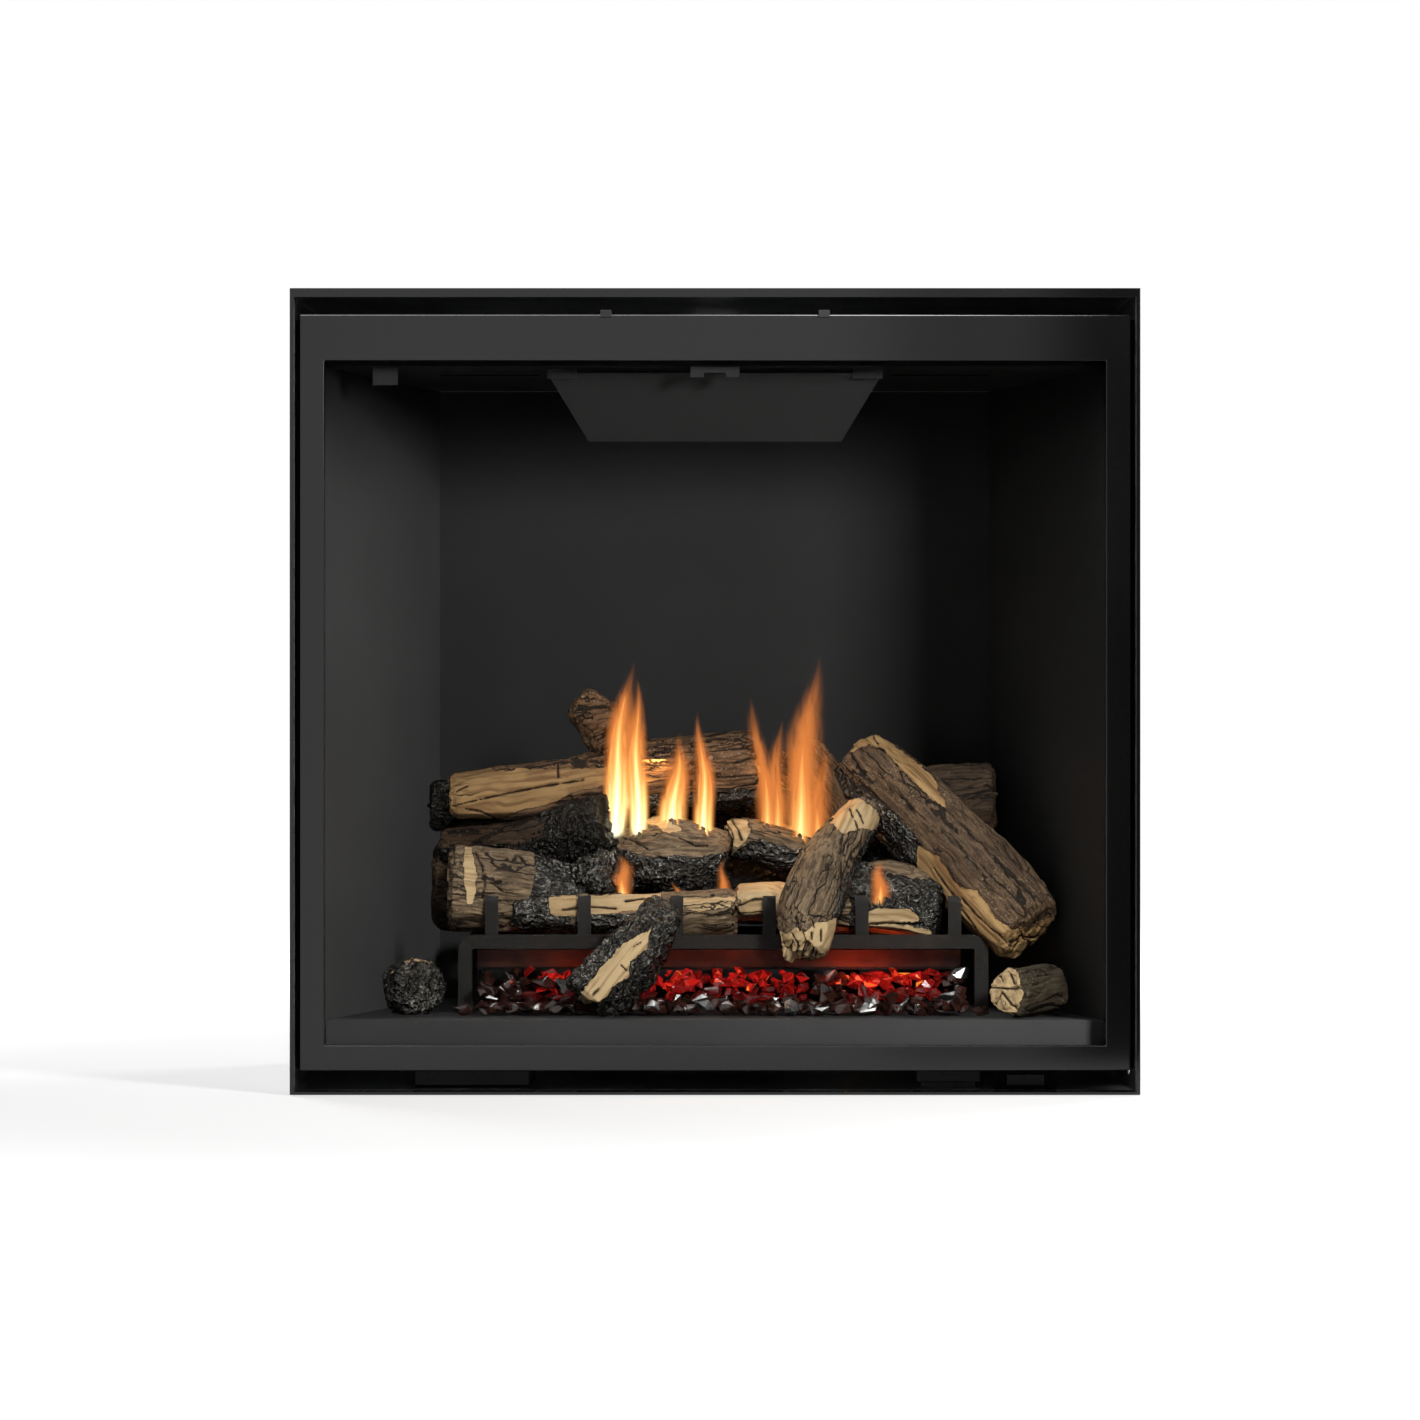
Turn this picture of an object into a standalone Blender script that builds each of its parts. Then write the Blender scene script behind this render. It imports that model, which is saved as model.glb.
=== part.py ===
"""Built-in direct vent gas fireplace with a tilting glass front, a burner, embers and a log set.

Metres, +Z up. The origin is the bottom centre of the whole appliance and the glass faces -Y.
Depths are measured back from the front edge of the surround.
"""

import math

import bmesh
import bpy
from mathutils import Matrix, Vector

# Clearance between neighbours, and how far a cutter or a joined shape runs past what it meets
GAP = 0.0003
OVERRUN = 0.001
SHEET = 0.0015
ROUND_SIDES = 12

# Whole appliance
FACE_WIDTH = 0.9144
FACE_HEIGHT = 0.8673
CASING_DEPTH = 0.460
FLUE_PROJECTION = 0.050

# Surround frame
SIDE_LIP = 0.0045
TOP_LIP = 0.0097
BOTTOM_LIP = 0.0032
SURROUND_DEPTH = 0.045
SIDE_PANEL_SETBACK = 0.020

# Glass frame, pane, retainer and gasket
FRAME_SIDE_MARGIN = 0.0102
FRAME_TOP_MARGIN = 0.0280
FRAME_BOTTOM_MARGIN = 0.0258
STILE_WIDTH = 0.0263
TOP_RAIL_HEIGHT = 0.0494
BOTTOM_RAIL_HEIGHT = 0.0269
FRAME_SETBACK = 0.006
FRAME_THICKNESS = 0.014
FRAME_EDGE_ROUND = 0.0012
HINGE_INSET = 0.002
HINGE_RISE = 0.0022
PANE_LAP = 0.020
PANE_THICKNESS = 0.004
RETAINER_REACH = 0.005
RETAINER_LAP = 0.004
GASKET_WIDTH = 0.012
HINGE_RAIL_RISE = 0.008

# Bulkhead behind the glass frame
BULKHEAD_SETBACK = 0.033
BULKHEAD_SHEET = 0.002
BULKHEAD_REVEAL = 0.0033
BULKHEAD_TOP_DROP = 0.0033

# Latches
LATCH_OFFSET = 0.1174
LATCH_WIDTH = 0.012
LATCH_SHEET = 0.002
LATCH_HOOK = 0.003
LATCH_SWING_ROOM = 0.0016
LATCH_RISE = 0.0027
LATCH_PIVOT_SETBACK = 0.042
LATCH_PIVOT_DROP = 0.010
LATCH_PIN_RADIUS = 0.0025
LATCH_BOSS_RADIUS = 0.0045
EAR_LENGTH = 0.013
EAR_HEIGHT = 0.016

# Firebox
FLOOR_RISE = 0.025
CEILING_DROP = 0.0039
FIREBOX_MARGIN = 0.0021
FIREBOX_FRONT = 0.0353
REAR_SPACE = 0.060
WALL_SPLAY = 0.1018
FIREBOX_SHEET = 0.002
LEDGE_SETBACK = 0.0383
LEDGE_DEPTH = 0.032
LEDGE_DROP = 0.032

# Exhaust slot, restrictor and flue
SLOT_WIDTH = 0.220
SLOT_DEPTH = 0.040
SLOT_SETBACK = 0.020
EXHAUST_WIDTH = 0.300
EXHAUST_TOP_DEPTH = 0.074
EXHAUST_DROP = 0.106
EXHAUST_RISE = 0.060
EXHAUST_REAR = 0.038
RESTRICTOR_WIDTH = 0.236
RESTRICTOR_DEPTH = 0.054
RESTRICTOR_TRAVEL = 0.025
RESTRICTOR_WINDOWS = 4
FLUE_UNDER_CEILING = 0.016
INNER_FLUE_RADIUS = 0.051
OUTER_FLUE_RADIUS = 0.084
FLUE_WALL = 0.0015
FLANGE_SIZE = 0.186
FLUE_SIDES = 40

# Relief flaps
FLAP_HOLE_WIDTH = 0.110
FLAP_HOLE_DEPTH = 0.080
FLAP_INSET = 0.071
FLAP_SETBACK = 0.170
FLAP_LAP = 0.006
FLAP_ROLL_RADIUS = 0.003

# Baffle, its bracket and the clip
BAFFLE_TOP_WIDTH = 0.366
BAFFLE_BOTTOM_WIDTH = 0.280
BAFFLE_TOP_SETBACK = 0.068
BAFFLE_BOTTOM_SETBACK = 0.140
BAFFLE_TOP_DROP = 0.0048
BAFFLE_FALL = 0.070
BAFFLE_NOTCH_WIDTH = 0.301
BAFFLE_NOTCH_DEPTH = 0.006
BRACKET_WIDTH = 0.053
BRACKET_DEPTH = 0.034
BRACKET_LIP = 0.0115
BRACKET_NOTCH_WIDTH = 0.024
BRACKET_NOTCH_HEIGHT = 0.005
CLIP_INSET = 0.0648
CLIP_WIDTH = 0.027
CLIP_HEIGHT = 0.019
CLIP_FOOT = 0.016
CLIP_SETBACK = 0.048

# Log grate
GRATE_SIDE_ROOM = 0.0272
GRATE_SHIFT = 0.0092
GRATE_SETBACK = 0.143
GRATE_REAR_ROOM = 0.050
GRATE_HEIGHT = 0.0863
BAR_SIZE = 0.015
GRATE_BEND = 0.018
TINE_WIDTH = 0.0144
TINE_THICKNESS = 0.006
TINE_RISE = 0.043
TINE_LEAN = 0.006
TINE_TIP_HEIGHT = 0.009
TINE_END_ROOM = 0.03705
TINES = 6
CROSS_BAR_HEIGHT = 0.012

# Burner, venturi, shutter, pilot and embers
BURNER_SIDE_ROOM = 0.0243
BURNER_FRONT_ROOM = 0.031
BURNER_REAR_ROOM = 0.026
BURNER_TOP_CLEARANCE = 0.006
BURNER_HEIGHT = 0.022
BURNER_SHEET = 0.002
BURNER_FOOT_DEPTH = 0.030
PORT_RADIUS = 0.003
PORT_ROWS = 2
PORTS_PER_ROW = 14
PORT_SIDES = 8
VENTURI_RADIUS = 0.014
VENTURI_WALL = 0.0015
VENTURI_TO_VALVE = 0.105
VENTURI_INSET = 0.076
VENTURI_DROP = 0.044
SHUTTER_HEIGHT = 0.024
SHUTTER_WALL = 0.0015
SHUTTER_TAB = 0.012
SHUTTER_TAB_WIDTH = 0.008
SHUTTER_WINDOW_WIDTH = 0.012
SHUTTER_WINDOW_HEIGHT = 0.012
PILOT_INSET = 0.0318
PILOT_REAR_ROOM = 0.055
PILOT_BASE = 0.040
PILOT_BASE_DEPTH = 0.018
PILOT_POST_HEIGHT = 0.052
PILOT_RADIUS = 0.0045
PILOT_HOOD_RADIUS = 0.008
PILOT_HOOD_HEIGHT = 0.012
ELECTRODE_RADIUS = 0.003
ELECTRODE_SPACING = 0.014
ELECTRODE_HEIGHT = 0.060
EMBER_FRONT_SETBACK = 0.088
EMBER_FRONT_HEIGHT = 0.007
EMBER_BACK_HEIGHT = 0.049
EMBER_COLUMNS = 16
EMBER_ROWS = 5
EMBER_LUMP = 0.003

# Gas train in the bottom compartment
VALVE_INSET = 0.2022
VALVE_SETBACK = 0.070
VALVE_WIDTH = 0.070
VALVE_DEPTH = 0.052
VALVE_HEIGHT = 0.044
VALVE_FOOT = 0.006
KNOB_RADIUS = 0.015
KNOB_LENGTH = 0.016
KNOB_STEM_RADIUS = 0.004
KNOB_STEM_LENGTH = 0.005
KNOB_GRIPS = 12
KNOB_GRIP_DEPTH = 0.0012
PIPE_RADIUS = 0.005
ORIFICE_RADIUS = 0.0065
ORIFICE_HEIGHT = 0.010
SHUTOFF_INSET = 0.0922
SHUTOFF_LENGTH = 0.046
SHUTOFF_RADIUS = 0.011
HANDLE_LENGTH = 0.038
HANDLE_WIDTH = 0.011
HANDLE_THICKNESS = 0.004
HANDLE_STEM_RADIUS = 0.004
HANDLE_STEM_LENGTH = 0.007
INLET_RADIUS = 0.0075
INLET_END_CLEARANCE = 0.004
INLET_HOLE_RADIUS = 0.016

# Controls and electrics
MODULE_INSET = 0.1922
MODULE_SETBACK = 0.070
MODULE_WIDTH = 0.130
MODULE_DEPTH = 0.085
MODULE_HEIGHT = 0.038
MODULE_ROUND = 0.003
SWITCH_INSET = 0.1202
SWITCH_PLATE_WIDTH = 0.068
SWITCH_PLATE_HEIGHT = 0.0195
SWITCH_PLATE_FOOT = 0.020
SWITCH_SETBACK = 0.048
ROCKER_WIDTH = 0.040
ROCKER_HEIGHT = 0.011
ROCKER_DEPTH = 0.010
ROCKER_CLEARANCE = 0.0012
ROCKER_PROUD = 0.0025

# Blower
BLOWER_OFFSET = -0.040
BLOWER_LENGTH = 0.240
BLOWER_REAR_ROOM = 0.115
DRUM_RADIUS = 0.023
DRUM_VANES = 18
DRUM_VANE_DEPTH = 0.005
SHAFT_RADIUS = 0.003
SHAFT_END = 0.006
HOUSING_CLEARANCE = 0.006
HOUSING_SHEET = 0.002
HOUSING_END_SHEET = 0.003
HOUSING_START_TURN = 0.55
HOUSING_END_TURN = 1.20
HOUSING_STEPS = 14
MOTOR_RADIUS = 0.020
MOTOR_LENGTH = 0.045

# Log set: how thick a log is, and how high the set stands above the grate's bars
LOG_RADIUS = 0.050
LOG_SET_HEIGHT = 0.250
LOG_SIDES = 12
LOG_RINGS = 8
KNOT_RINGS = 2
LOG_LUMP_SHARE = 0.05
LOG_RIDGE_SHARE = 0.03
LOG_END_ROUND = 0.006
LOG_SEAT = 0.0006

# Worked out from the sizes above
FRONT_Y = -(CASING_DEPTH + FLUE_PROJECTION) / 2
HALF_FACE = FACE_WIDTH / 2
SIDE_PANEL_X = HALF_FACE - SHEET - GAP
TOP_PANEL_Z = FACE_HEIGHT - SHEET - GAP
FRAME_HALF = HALF_FACE - FRAME_SIDE_MARGIN
FRAME_LOW = FRAME_BOTTOM_MARGIN
FRAME_HIGH = FACE_HEIGHT - FRAME_TOP_MARGIN
OPENING_HALF = FRAME_HALF - STILE_WIDTH
OPENING_LOW = FRAME_LOW + BOTTOM_RAIL_HEIGHT
OPENING_HIGH = FRAME_HIGH - TOP_RAIL_HEIGHT
FRAME_BACK = FRAME_SETBACK + FRAME_THICKNESS
BULKHEAD_BACK = BULKHEAD_SETBACK + BULKHEAD_SHEET
FLOOR_HEIGHT = OPENING_LOW + FLOOR_RISE
CEILING_HEIGHT = OPENING_HIGH - CEILING_DROP
FIREBOX_FRONT_HALF = OPENING_HALF + FIREBOX_MARGIN
FIREBOX_BACK_HALF = FIREBOX_FRONT_HALF - WALL_SPLAY
FIREBOX_BACK = CASING_DEPTH - REAR_SPACE
FLAP_OFFSET = FIREBOX_BACK_HALF - FLAP_INSET
CLIP_OFFSET = FIREBOX_FRONT_HALF - CLIP_INSET
GRATE_WIDTH = 2 * (FIREBOX_BACK_HALF - GRATE_SIDE_ROOM)
GRATE_DEPTH = FIREBOX_BACK - GRATE_REAR_ROOM - GRATE_SETBACK
GRATE_TOP = FLOOR_HEIGHT + GAP + GRATE_HEIGHT
TINE_SPACING = (GRATE_WIDTH - 2 * TINE_END_ROOM) / (TINES - 1)
BURNER_WIDTH = GRATE_WIDTH - 2 * BURNER_SIDE_ROOM
BURNER_SETBACK = GRATE_SETBACK + BURNER_FRONT_ROOM
BURNER_DEPTH = GRATE_DEPTH - BURNER_FRONT_ROOM - BURNER_REAR_ROOM
BURNER_TOP = GRATE_TOP - CROSS_BAR_HEIGHT - BURNER_TOP_CLEARANCE
VALVE_OFFSET = HALF_FACE - VALVE_INSET
SHUTOFF_OFFSET = HALF_FACE - SHUTOFF_INSET
SWITCH_OFFSET = HALF_FACE - SWITCH_INSET
MODULE_OFFSET = MODULE_INSET - HALF_FACE
VENTURI_OFFSET = VALVE_OFFSET - VENTURI_TO_VALVE
VENTURI_SETBACK = BURNER_SETBACK + VENTURI_INSET
PILOT_OFFSET = GRATE_WIDTH / 2 - PILOT_INSET
PILOT_SETBACK = FIREBOX_BACK - PILOT_REAR_ROOM
BLOWER_SETBACK = CASING_DEPTH - BLOWER_REAR_ROOM


def deep(depth):
    """The Y of a place this far behind the front edge of the surround."""
    return FRONT_Y + depth


def clear_scene():
    for thing in list(bpy.data.objects):
        bpy.data.objects.remove(thing)


def finish_material(name, colour, roughness, metallic=0, alpha=1):
    """A Principled material with the piece's colour, roughness and metallic value."""
    material = bpy.data.materials.new(name)
    material.use_nodes = True
    shader = material.node_tree.nodes["Principled BSDF"]
    shader.inputs["Base Color"].default_value = (*colour, 1)
    shader.inputs["Roughness"].default_value = roughness
    shader.inputs["Metallic"].default_value = metallic
    shader.inputs["Alpha"].default_value = alpha
    material.diffuse_color = (*colour, alpha)
    return material


def add_faces(shape, rings, closed_ends=True):
    """Skins rings of points, each with as many points, into a tube with capped ends."""
    loops = [[shape.verts.new(point) for point in ring] for ring in rings]
    count = len(loops[0])
    for first, second in zip(loops, loops[1:]):
        for i in range(count):
            j = (i + 1) % count
            shape.faces.new((first[i], first[j], second[j], second[i]))
    if closed_ends:
        shape.faces.new(list(reversed(loops[0])))
        shape.faces.new(loops[-1])


def block(low, high):
    """A box between two corners."""
    shape = bmesh.new()
    ring = [(low[0], low[1]), (high[0], low[1]), (high[0], high[1]), (low[0], high[1])]
    add_faces(shape, [[Vector((x, y, z)) for x, y in ring] for z in (low[2], high[2])])
    return shape


def extrusion(outline, start, end, place):
    """A flat outline of (u, v) pushed from start to end. place turns (u, v, w) into a point."""
    shape = bmesh.new()
    add_faces(shape, [[Vector(place(u, v, w)) for u, v in outline] for w in (start, end)])
    return shape


def along_x(u, v, w):
    """Outline of depth and height, pushed along X."""
    return (w, deep(u), v)


def along_y(u, v, w):
    """Outline of X and height, pushed back."""
    return (u, deep(w), v)


def along_z(u, v, w):
    """Outline of X and depth, pushed up."""
    return (u, deep(v), w)


def circle(radius, sides, centre=(0, 0)):
    """Points of a circle as (u, v)."""
    turns = [math.tau * i / sides for i in range(sides)]
    return [(centre[0] + radius * math.cos(a), centre[1] + radius * math.sin(a)) for a in turns]


def arc(centre, radius, start_turn, end_turn, steps):
    """Points of part of a circle, its ends given in turns."""
    turns = [start_turn + (end_turn - start_turn) * i / steps for i in range(steps + 1)]
    return [
        (
            centre[0] + radius * math.cos(math.tau * turn),
            centre[1] + radius * math.sin(math.tau * turn),
        )
        for turn in turns
    ]


def rectangle(half_width, low, high):
    return [(-half_width, low), (half_width, low), (half_width, high), (-half_width, high)]


def make(name, shape, material, smooth=False):
    """Turns a bmesh into a named object with its faces pointing out."""
    bmesh.ops.recalc_face_normals(shape, faces=shape.faces)
    mesh = bpy.data.meshes.new(name)
    shape.to_mesh(mesh)
    shape.free()
    piece = bpy.data.objects.new(name, mesh)
    bpy.context.scene.collection.objects.link(piece)
    if material:
        mesh.materials.append(material)
    if smooth:
        round_off(piece)
    return piece


def round_off(piece):
    """Shades the round faces smooth and keeps the edges sharp."""
    piece.data.shade_smooth()
    piece.data.set_sharp_from_angle(angle=math.pi / 6)


def combine(piece, shape, operation):
    """Joins a bmesh to a piece, or cuts it out of the piece, with an exact Boolean."""
    other = make(piece.name + "_tool", shape, None)
    other.hide_render = True
    other.display_type = "WIRE"
    step = piece.modifiers.new(operation.lower(), "BOOLEAN")
    step.operation = operation
    step.solver = "EXACT"
    step.object = other
    graph = bpy.context.evaluated_depsgraph_get()
    finished = bpy.data.meshes.new_from_object(piece.evaluated_get(graph))
    piece.modifiers.clear()
    piece.data = finished
    bpy.data.objects.remove(other)


def cut(piece, *shapes):
    for shape in shapes:
        combine(piece, shape, "DIFFERENCE")


def join(piece, *shapes):
    for shape in shapes:
        combine(piece, shape, "UNION")


def pivot_at(piece, point):
    """Puts a moving piece's origin on its joint's axis."""
    piece.data.transform(Matrix.Translation(-Vector(point)))
    piece.location = point


def hang_on(piece, carrier):
    """Parents a piece to the one that carries it, without moving it."""
    bpy.context.view_layer.update()
    piece.parent = carrier
    piece.matrix_parent_inverse = carrier.matrix_world.inverted()


def ease_edges(piece, width):
    """Bevels the sharp edges of a block."""
    step = piece.modifiers.new("edges", "BEVEL")
    step.width = width
    step.segments = 1
    step.limit_method = "ANGLE"


clear_scene()
CASING_STEEL = finish_material("casing_steel", (0.30, 0.31, 0.31), 0.45, 0.9)
SATIN_BLACK = finish_material("satin_black", (0.020, 0.020, 0.021), 0.45)
FIREBOX_BLACK = finish_material("firebox_black", (0.028, 0.028, 0.029), 0.6)
GRATE_BLACK = finish_material("grate_black", (0.022, 0.021, 0.021), 0.55)
BURNER_STEEL = finish_material("burner_steel", (0.20, 0.10, 0.06), 0.5, 0.6)
CERAMIC_GLASS = finish_material("ceramic_glass", (0.9, 0.9, 0.9), 0.03, 0, 0.15)
GASKET_FIBRE = finish_material("gasket_fibre", (0.35, 0.34, 0.32), 0.95)
EMBER_GLASS = finish_material("ember_glass", (0.35, 0.03, 0.02), 0.15)
LOG_BARK = finish_material("log_bark", (0.16, 0.11, 0.07), 0.85)
LOG_CHAR = finish_material("log_char", (0.035, 0.032, 0.030), 0.7)
BRASS = finish_material("brass", (0.62, 0.45, 0.20), 0.3, 1)
ALUMINIUM = finish_material("cast_aluminium", (0.55, 0.56, 0.57), 0.4, 1)
RED_PLASTIC = finish_material("red_plastic", (0.45, 0.03, 0.02), 0.4)
BLACK_PLASTIC = finish_material("black_plastic", (0.018, 0.018, 0.018), 0.4)


# Casing: five separate steel panels


def make_casing():
    panel_low = SHEET + GAP
    panel_high = TOP_PANEL_Z - SHEET - GAP
    panel_back = CASING_DEPTH - SHEET - GAP
    hole_centre = (deep(VALVE_SETBACK + VALVE_DEPTH / 2), panel_low + VALVE_FOOT + VALVE_HEIGHT / 2)
    for side, name in ((-1, "casing_left"), (1, "casing_right")):
        edges = sorted((side * SIDE_PANEL_X, side * (SIDE_PANEL_X - SHEET)))
        low = (edges[0], deep(SIDE_PANEL_SETBACK), panel_low)
        high = (edges[1], deep(panel_back), panel_high)
        panel = make(name, block(low, high), CASING_STEEL)
        if side > 0:
            hole = bmesh.new()
            ring = circle(INLET_HOLE_RADIUS, ROUND_SIDES, hole_centre)
            ends = (edges[0] - OVERRUN, edges[1] + OVERRUN)
            add_faces(hole, [[Vector((x, y, z)) for y, z in ring] for x in ends])
            cut(panel, hole)
    top_low = (-SIDE_PANEL_X, deep(SIDE_PANEL_SETBACK), TOP_PANEL_Z - SHEET)
    make("casing_top", block(top_low, (SIDE_PANEL_X, deep(panel_back), TOP_PANEL_Z)), CASING_STEEL)
    base_low = (-SIDE_PANEL_X, deep(SURROUND_DEPTH + GAP), 0)
    make("base_pan", block(base_low, (SIDE_PANEL_X, deep(panel_back), SHEET)), CASING_STEEL)
    back_low = (-SIDE_PANEL_X, deep(CASING_DEPTH - SHEET), 0)
    back_high = (SIDE_PANEL_X, deep(CASING_DEPTH), TOP_PANEL_Z)
    back = make("casing_back", block(back_low, back_high), CASING_STEEL)
    flue = circle(OUTER_FLUE_RADIUS - FLUE_WALL - OVERRUN, FLUE_SIDES, (0, flue_height()))
    cut(back, extrusion(flue, CASING_DEPTH - SHEET - OVERRUN, CASING_DEPTH + OVERRUN, along_y))


def flue_height():
    return CEILING_HEIGHT - FLUE_UNDER_CEILING


def make_surround():
    """A folded frame: a return all round and a narrow lip at its front edge."""
    outer = rectangle(HALF_FACE, 0, FACE_HEIGHT)
    frame = make("surround_frame", extrusion(outer, 0, SURROUND_DEPTH, along_y), SATIN_BLACK)
    mouth = rectangle(HALF_FACE - SIDE_LIP, BOTTOM_LIP, FACE_HEIGHT - TOP_LIP)
    inside = rectangle(HALF_FACE - SHEET, SHEET, FACE_HEIGHT - SHEET)
    cut(
        frame,
        extrusion(inside, SHEET, SURROUND_DEPTH + OVERRUN, along_y),
        extrusion(mouth, -OVERRUN, SHEET + OVERRUN, along_y),
    )


# Glass front: frame, pane, retainer and gasket tilt together on the hinge rail


def ring_shape(piece_name, half, low, high, hole_half, hole_low, hole_high, start, end, material):
    """A flat rectangular ring between two depths."""
    piece = make(piece_name, extrusion(rectangle(half, low, high), start, end, along_y), material)
    hole = rectangle(hole_half, hole_low, hole_high)
    cut(piece, extrusion(hole, start - OVERRUN, end + OVERRUN, along_y))
    return piece


def make_glass_front():
    hinge = (0, deep(FRAME_BACK - HINGE_INSET), FRAME_LOW + HINGE_RISE)
    pane_half = OPENING_HALF + PANE_LAP
    pane_low = OPENING_LOW - PANE_LAP
    pane_high = OPENING_HIGH + PANE_LAP
    pane_front = FRAME_BACK + GAP
    pane_back = pane_front + PANE_THICKNESS

    frame = ring_shape(
        "glass_frame", FRAME_HALF, FRAME_LOW, FRAME_HIGH, OPENING_HALF, OPENING_LOW, OPENING_HIGH,
        FRAME_SETBACK, FRAME_BACK, SATIN_BLACK,
    )
    ease_edges(frame, FRAME_EDGE_ROUND)
    pane_outline = rectangle(pane_half, pane_low, pane_high)
    pane = make("glass_pane", extrusion(pane_outline, pane_front, pane_back, along_y), CERAMIC_GLASS)

    reach = RETAINER_REACH
    retainer_back = pane_back + GAP + SHEET
    retainer = ring_shape(
        "glass_retainer", pane_half + reach, pane_low - reach, pane_high + reach,
        pane_half + GAP, pane_low - GAP, pane_high + GAP, pane_front, pane_back + GAP + OVERRUN / 2,
        CASING_STEEL,
    )
    lip_outline = rectangle(pane_half + reach, pane_low - reach, pane_high + reach)
    join(retainer, extrusion(lip_outline, pane_back + GAP, retainer_back, along_y))
    lap = RETAINER_LAP
    mouth = rectangle(pane_half - lap, pane_low + lap, pane_high - lap)
    cut(retainer, extrusion(mouth, pane_back, retainer_back + OVERRUN, along_y))

    inset = lap + GAP
    width = inset + GASKET_WIDTH
    gasket = ring_shape(
        "glass_gasket", pane_half - inset, pane_low + inset, pane_high - inset,
        pane_half - width, pane_low + width, pane_high - width,
        pane_back + GAP, BULKHEAD_SETBACK - GAP, GASKET_FIBRE,
    )
    pivot_at(frame, hinge)
    for piece in (pane, retainer, gasket):
        hang_on(piece, frame)


def hinge_rail():
    """A fold at the bulkhead's foot: the glass frame stands in it and tilts forward on it."""
    top = FRAME_LOW - GAP
    front = FRAME_BACK - SHEET
    back = BULKHEAD_SETBACK + BULKHEAD_SHEET / 2
    outline = [
        (front, top - SHEET),
        (back, top - SHEET),
        (back, top + HINGE_RAIL_RISE),
        (back - SHEET, top + HINGE_RAIL_RISE),
        (back - SHEET, top),
        (front, top),
    ]
    return extrusion(outline, -OPENING_HALF, OPENING_HALF, along_x)


def latch_centre():
    return (LATCH_PIVOT_SETBACK, FRAME_HIGH - BULKHEAD_TOP_DROP - LATCH_PIVOT_DROP)


def make_bulkhead():
    """The upright sheet that the glass seals against, with two pairs of ears for the latches."""
    high = FRAME_HIGH - BULKHEAD_TOP_DROP
    reveal = BULKHEAD_REVEAL
    piece = ring_shape(
        "bulkhead", SIDE_PANEL_X - SHEET - GAP, FRAME_LOW, high,
        OPENING_HALF + reveal, OPENING_LOW - reveal / 2, OPENING_HIGH - reveal,
        BULKHEAD_SETBACK, BULKHEAD_BACK, FIREBOX_BLACK,
    )
    join(piece, hinge_rail())
    centre = latch_centre()
    half = LATCH_WIDTH / 2 + GAP
    ear = [
        (BULKHEAD_BACK - BULKHEAD_SHEET / 2, high - EAR_HEIGHT),
        (BULKHEAD_BACK + EAR_LENGTH, high - EAR_HEIGHT),
        (BULKHEAD_BACK + EAR_LENGTH, high),
        (BULKHEAD_BACK - BULKHEAD_SHEET / 2, high),
    ]
    hole = circle(LATCH_PIN_RADIUS + GAP, ROUND_SIDES, centre)
    for side in (-1, 1):
        middle = side * LATCH_OFFSET
        for inner, outer in ((-half, -half - SHEET), (half, half + SHEET)):
            join(piece, extrusion(ear, *sorted((middle + inner, middle + outer)), along_x))
        reach = half + SHEET + OVERRUN
        cut(piece, extrusion(hole, middle - reach, middle + reach, along_x))


def make_latches():
    """Levers behind the bulkhead whose hooks reach over the glass frame's top edge."""
    centre = latch_centre()
    front = FRAME_SETBACK - LATCH_SWING_ROOM - LATCH_SHEET
    under = FRAME_HIGH + LATCH_RISE
    over = under + LATCH_SHEET
    leg_front = LATCH_PIVOT_SETBACK - LATCH_BOSS_RADIUS
    leg_back = LATCH_PIVOT_SETBACK + LATCH_BOSS_RADIUS
    foot = centre[1] - LATCH_BOSS_RADIUS
    outline = [
        (front, FRAME_HIGH - LATCH_HOOK),
        (front + LATCH_SHEET, FRAME_HIGH - LATCH_HOOK),
        (front + LATCH_SHEET, under),
        (leg_front, under),
        (leg_front, foot),
        (leg_back, foot),
        (leg_back, over),
        (front, over),
    ]
    pin = circle(LATCH_PIN_RADIUS, ROUND_SIDES, centre)
    half = LATCH_WIDTH / 2
    for side, name in ((-1, "latch_left"), (1, "latch_right")):
        middle = side * LATCH_OFFSET
        latch = make(name, extrusion(outline, middle - half, middle + half, along_x), CASING_STEEL)
        reach = half + GAP + SHEET
        join(latch, extrusion(pin, middle - reach, middle + reach, along_x))
        pivot_at(latch, (middle, deep(centre[0]), centre[1]))


# Firebox: splayed side walls, back, floor, ledge and ceiling


def wall_half(depth):
    """Half the firebox's clear width at a depth."""
    share = (depth - FIREBOX_FRONT) / (FIREBOX_BACK - FIREBOX_FRONT)
    return FIREBOX_FRONT_HALF - WALL_SPLAY * share


def flat_trapezoid(front, back, inset):
    """Plan of the firebox between two depths, this far inside its walls."""
    return [
        (-wall_half(front) + inset, front),
        (wall_half(front) - inset, front),
        (wall_half(back) - inset, back),
        (-wall_half(back) + inset, back),
    ]


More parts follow.
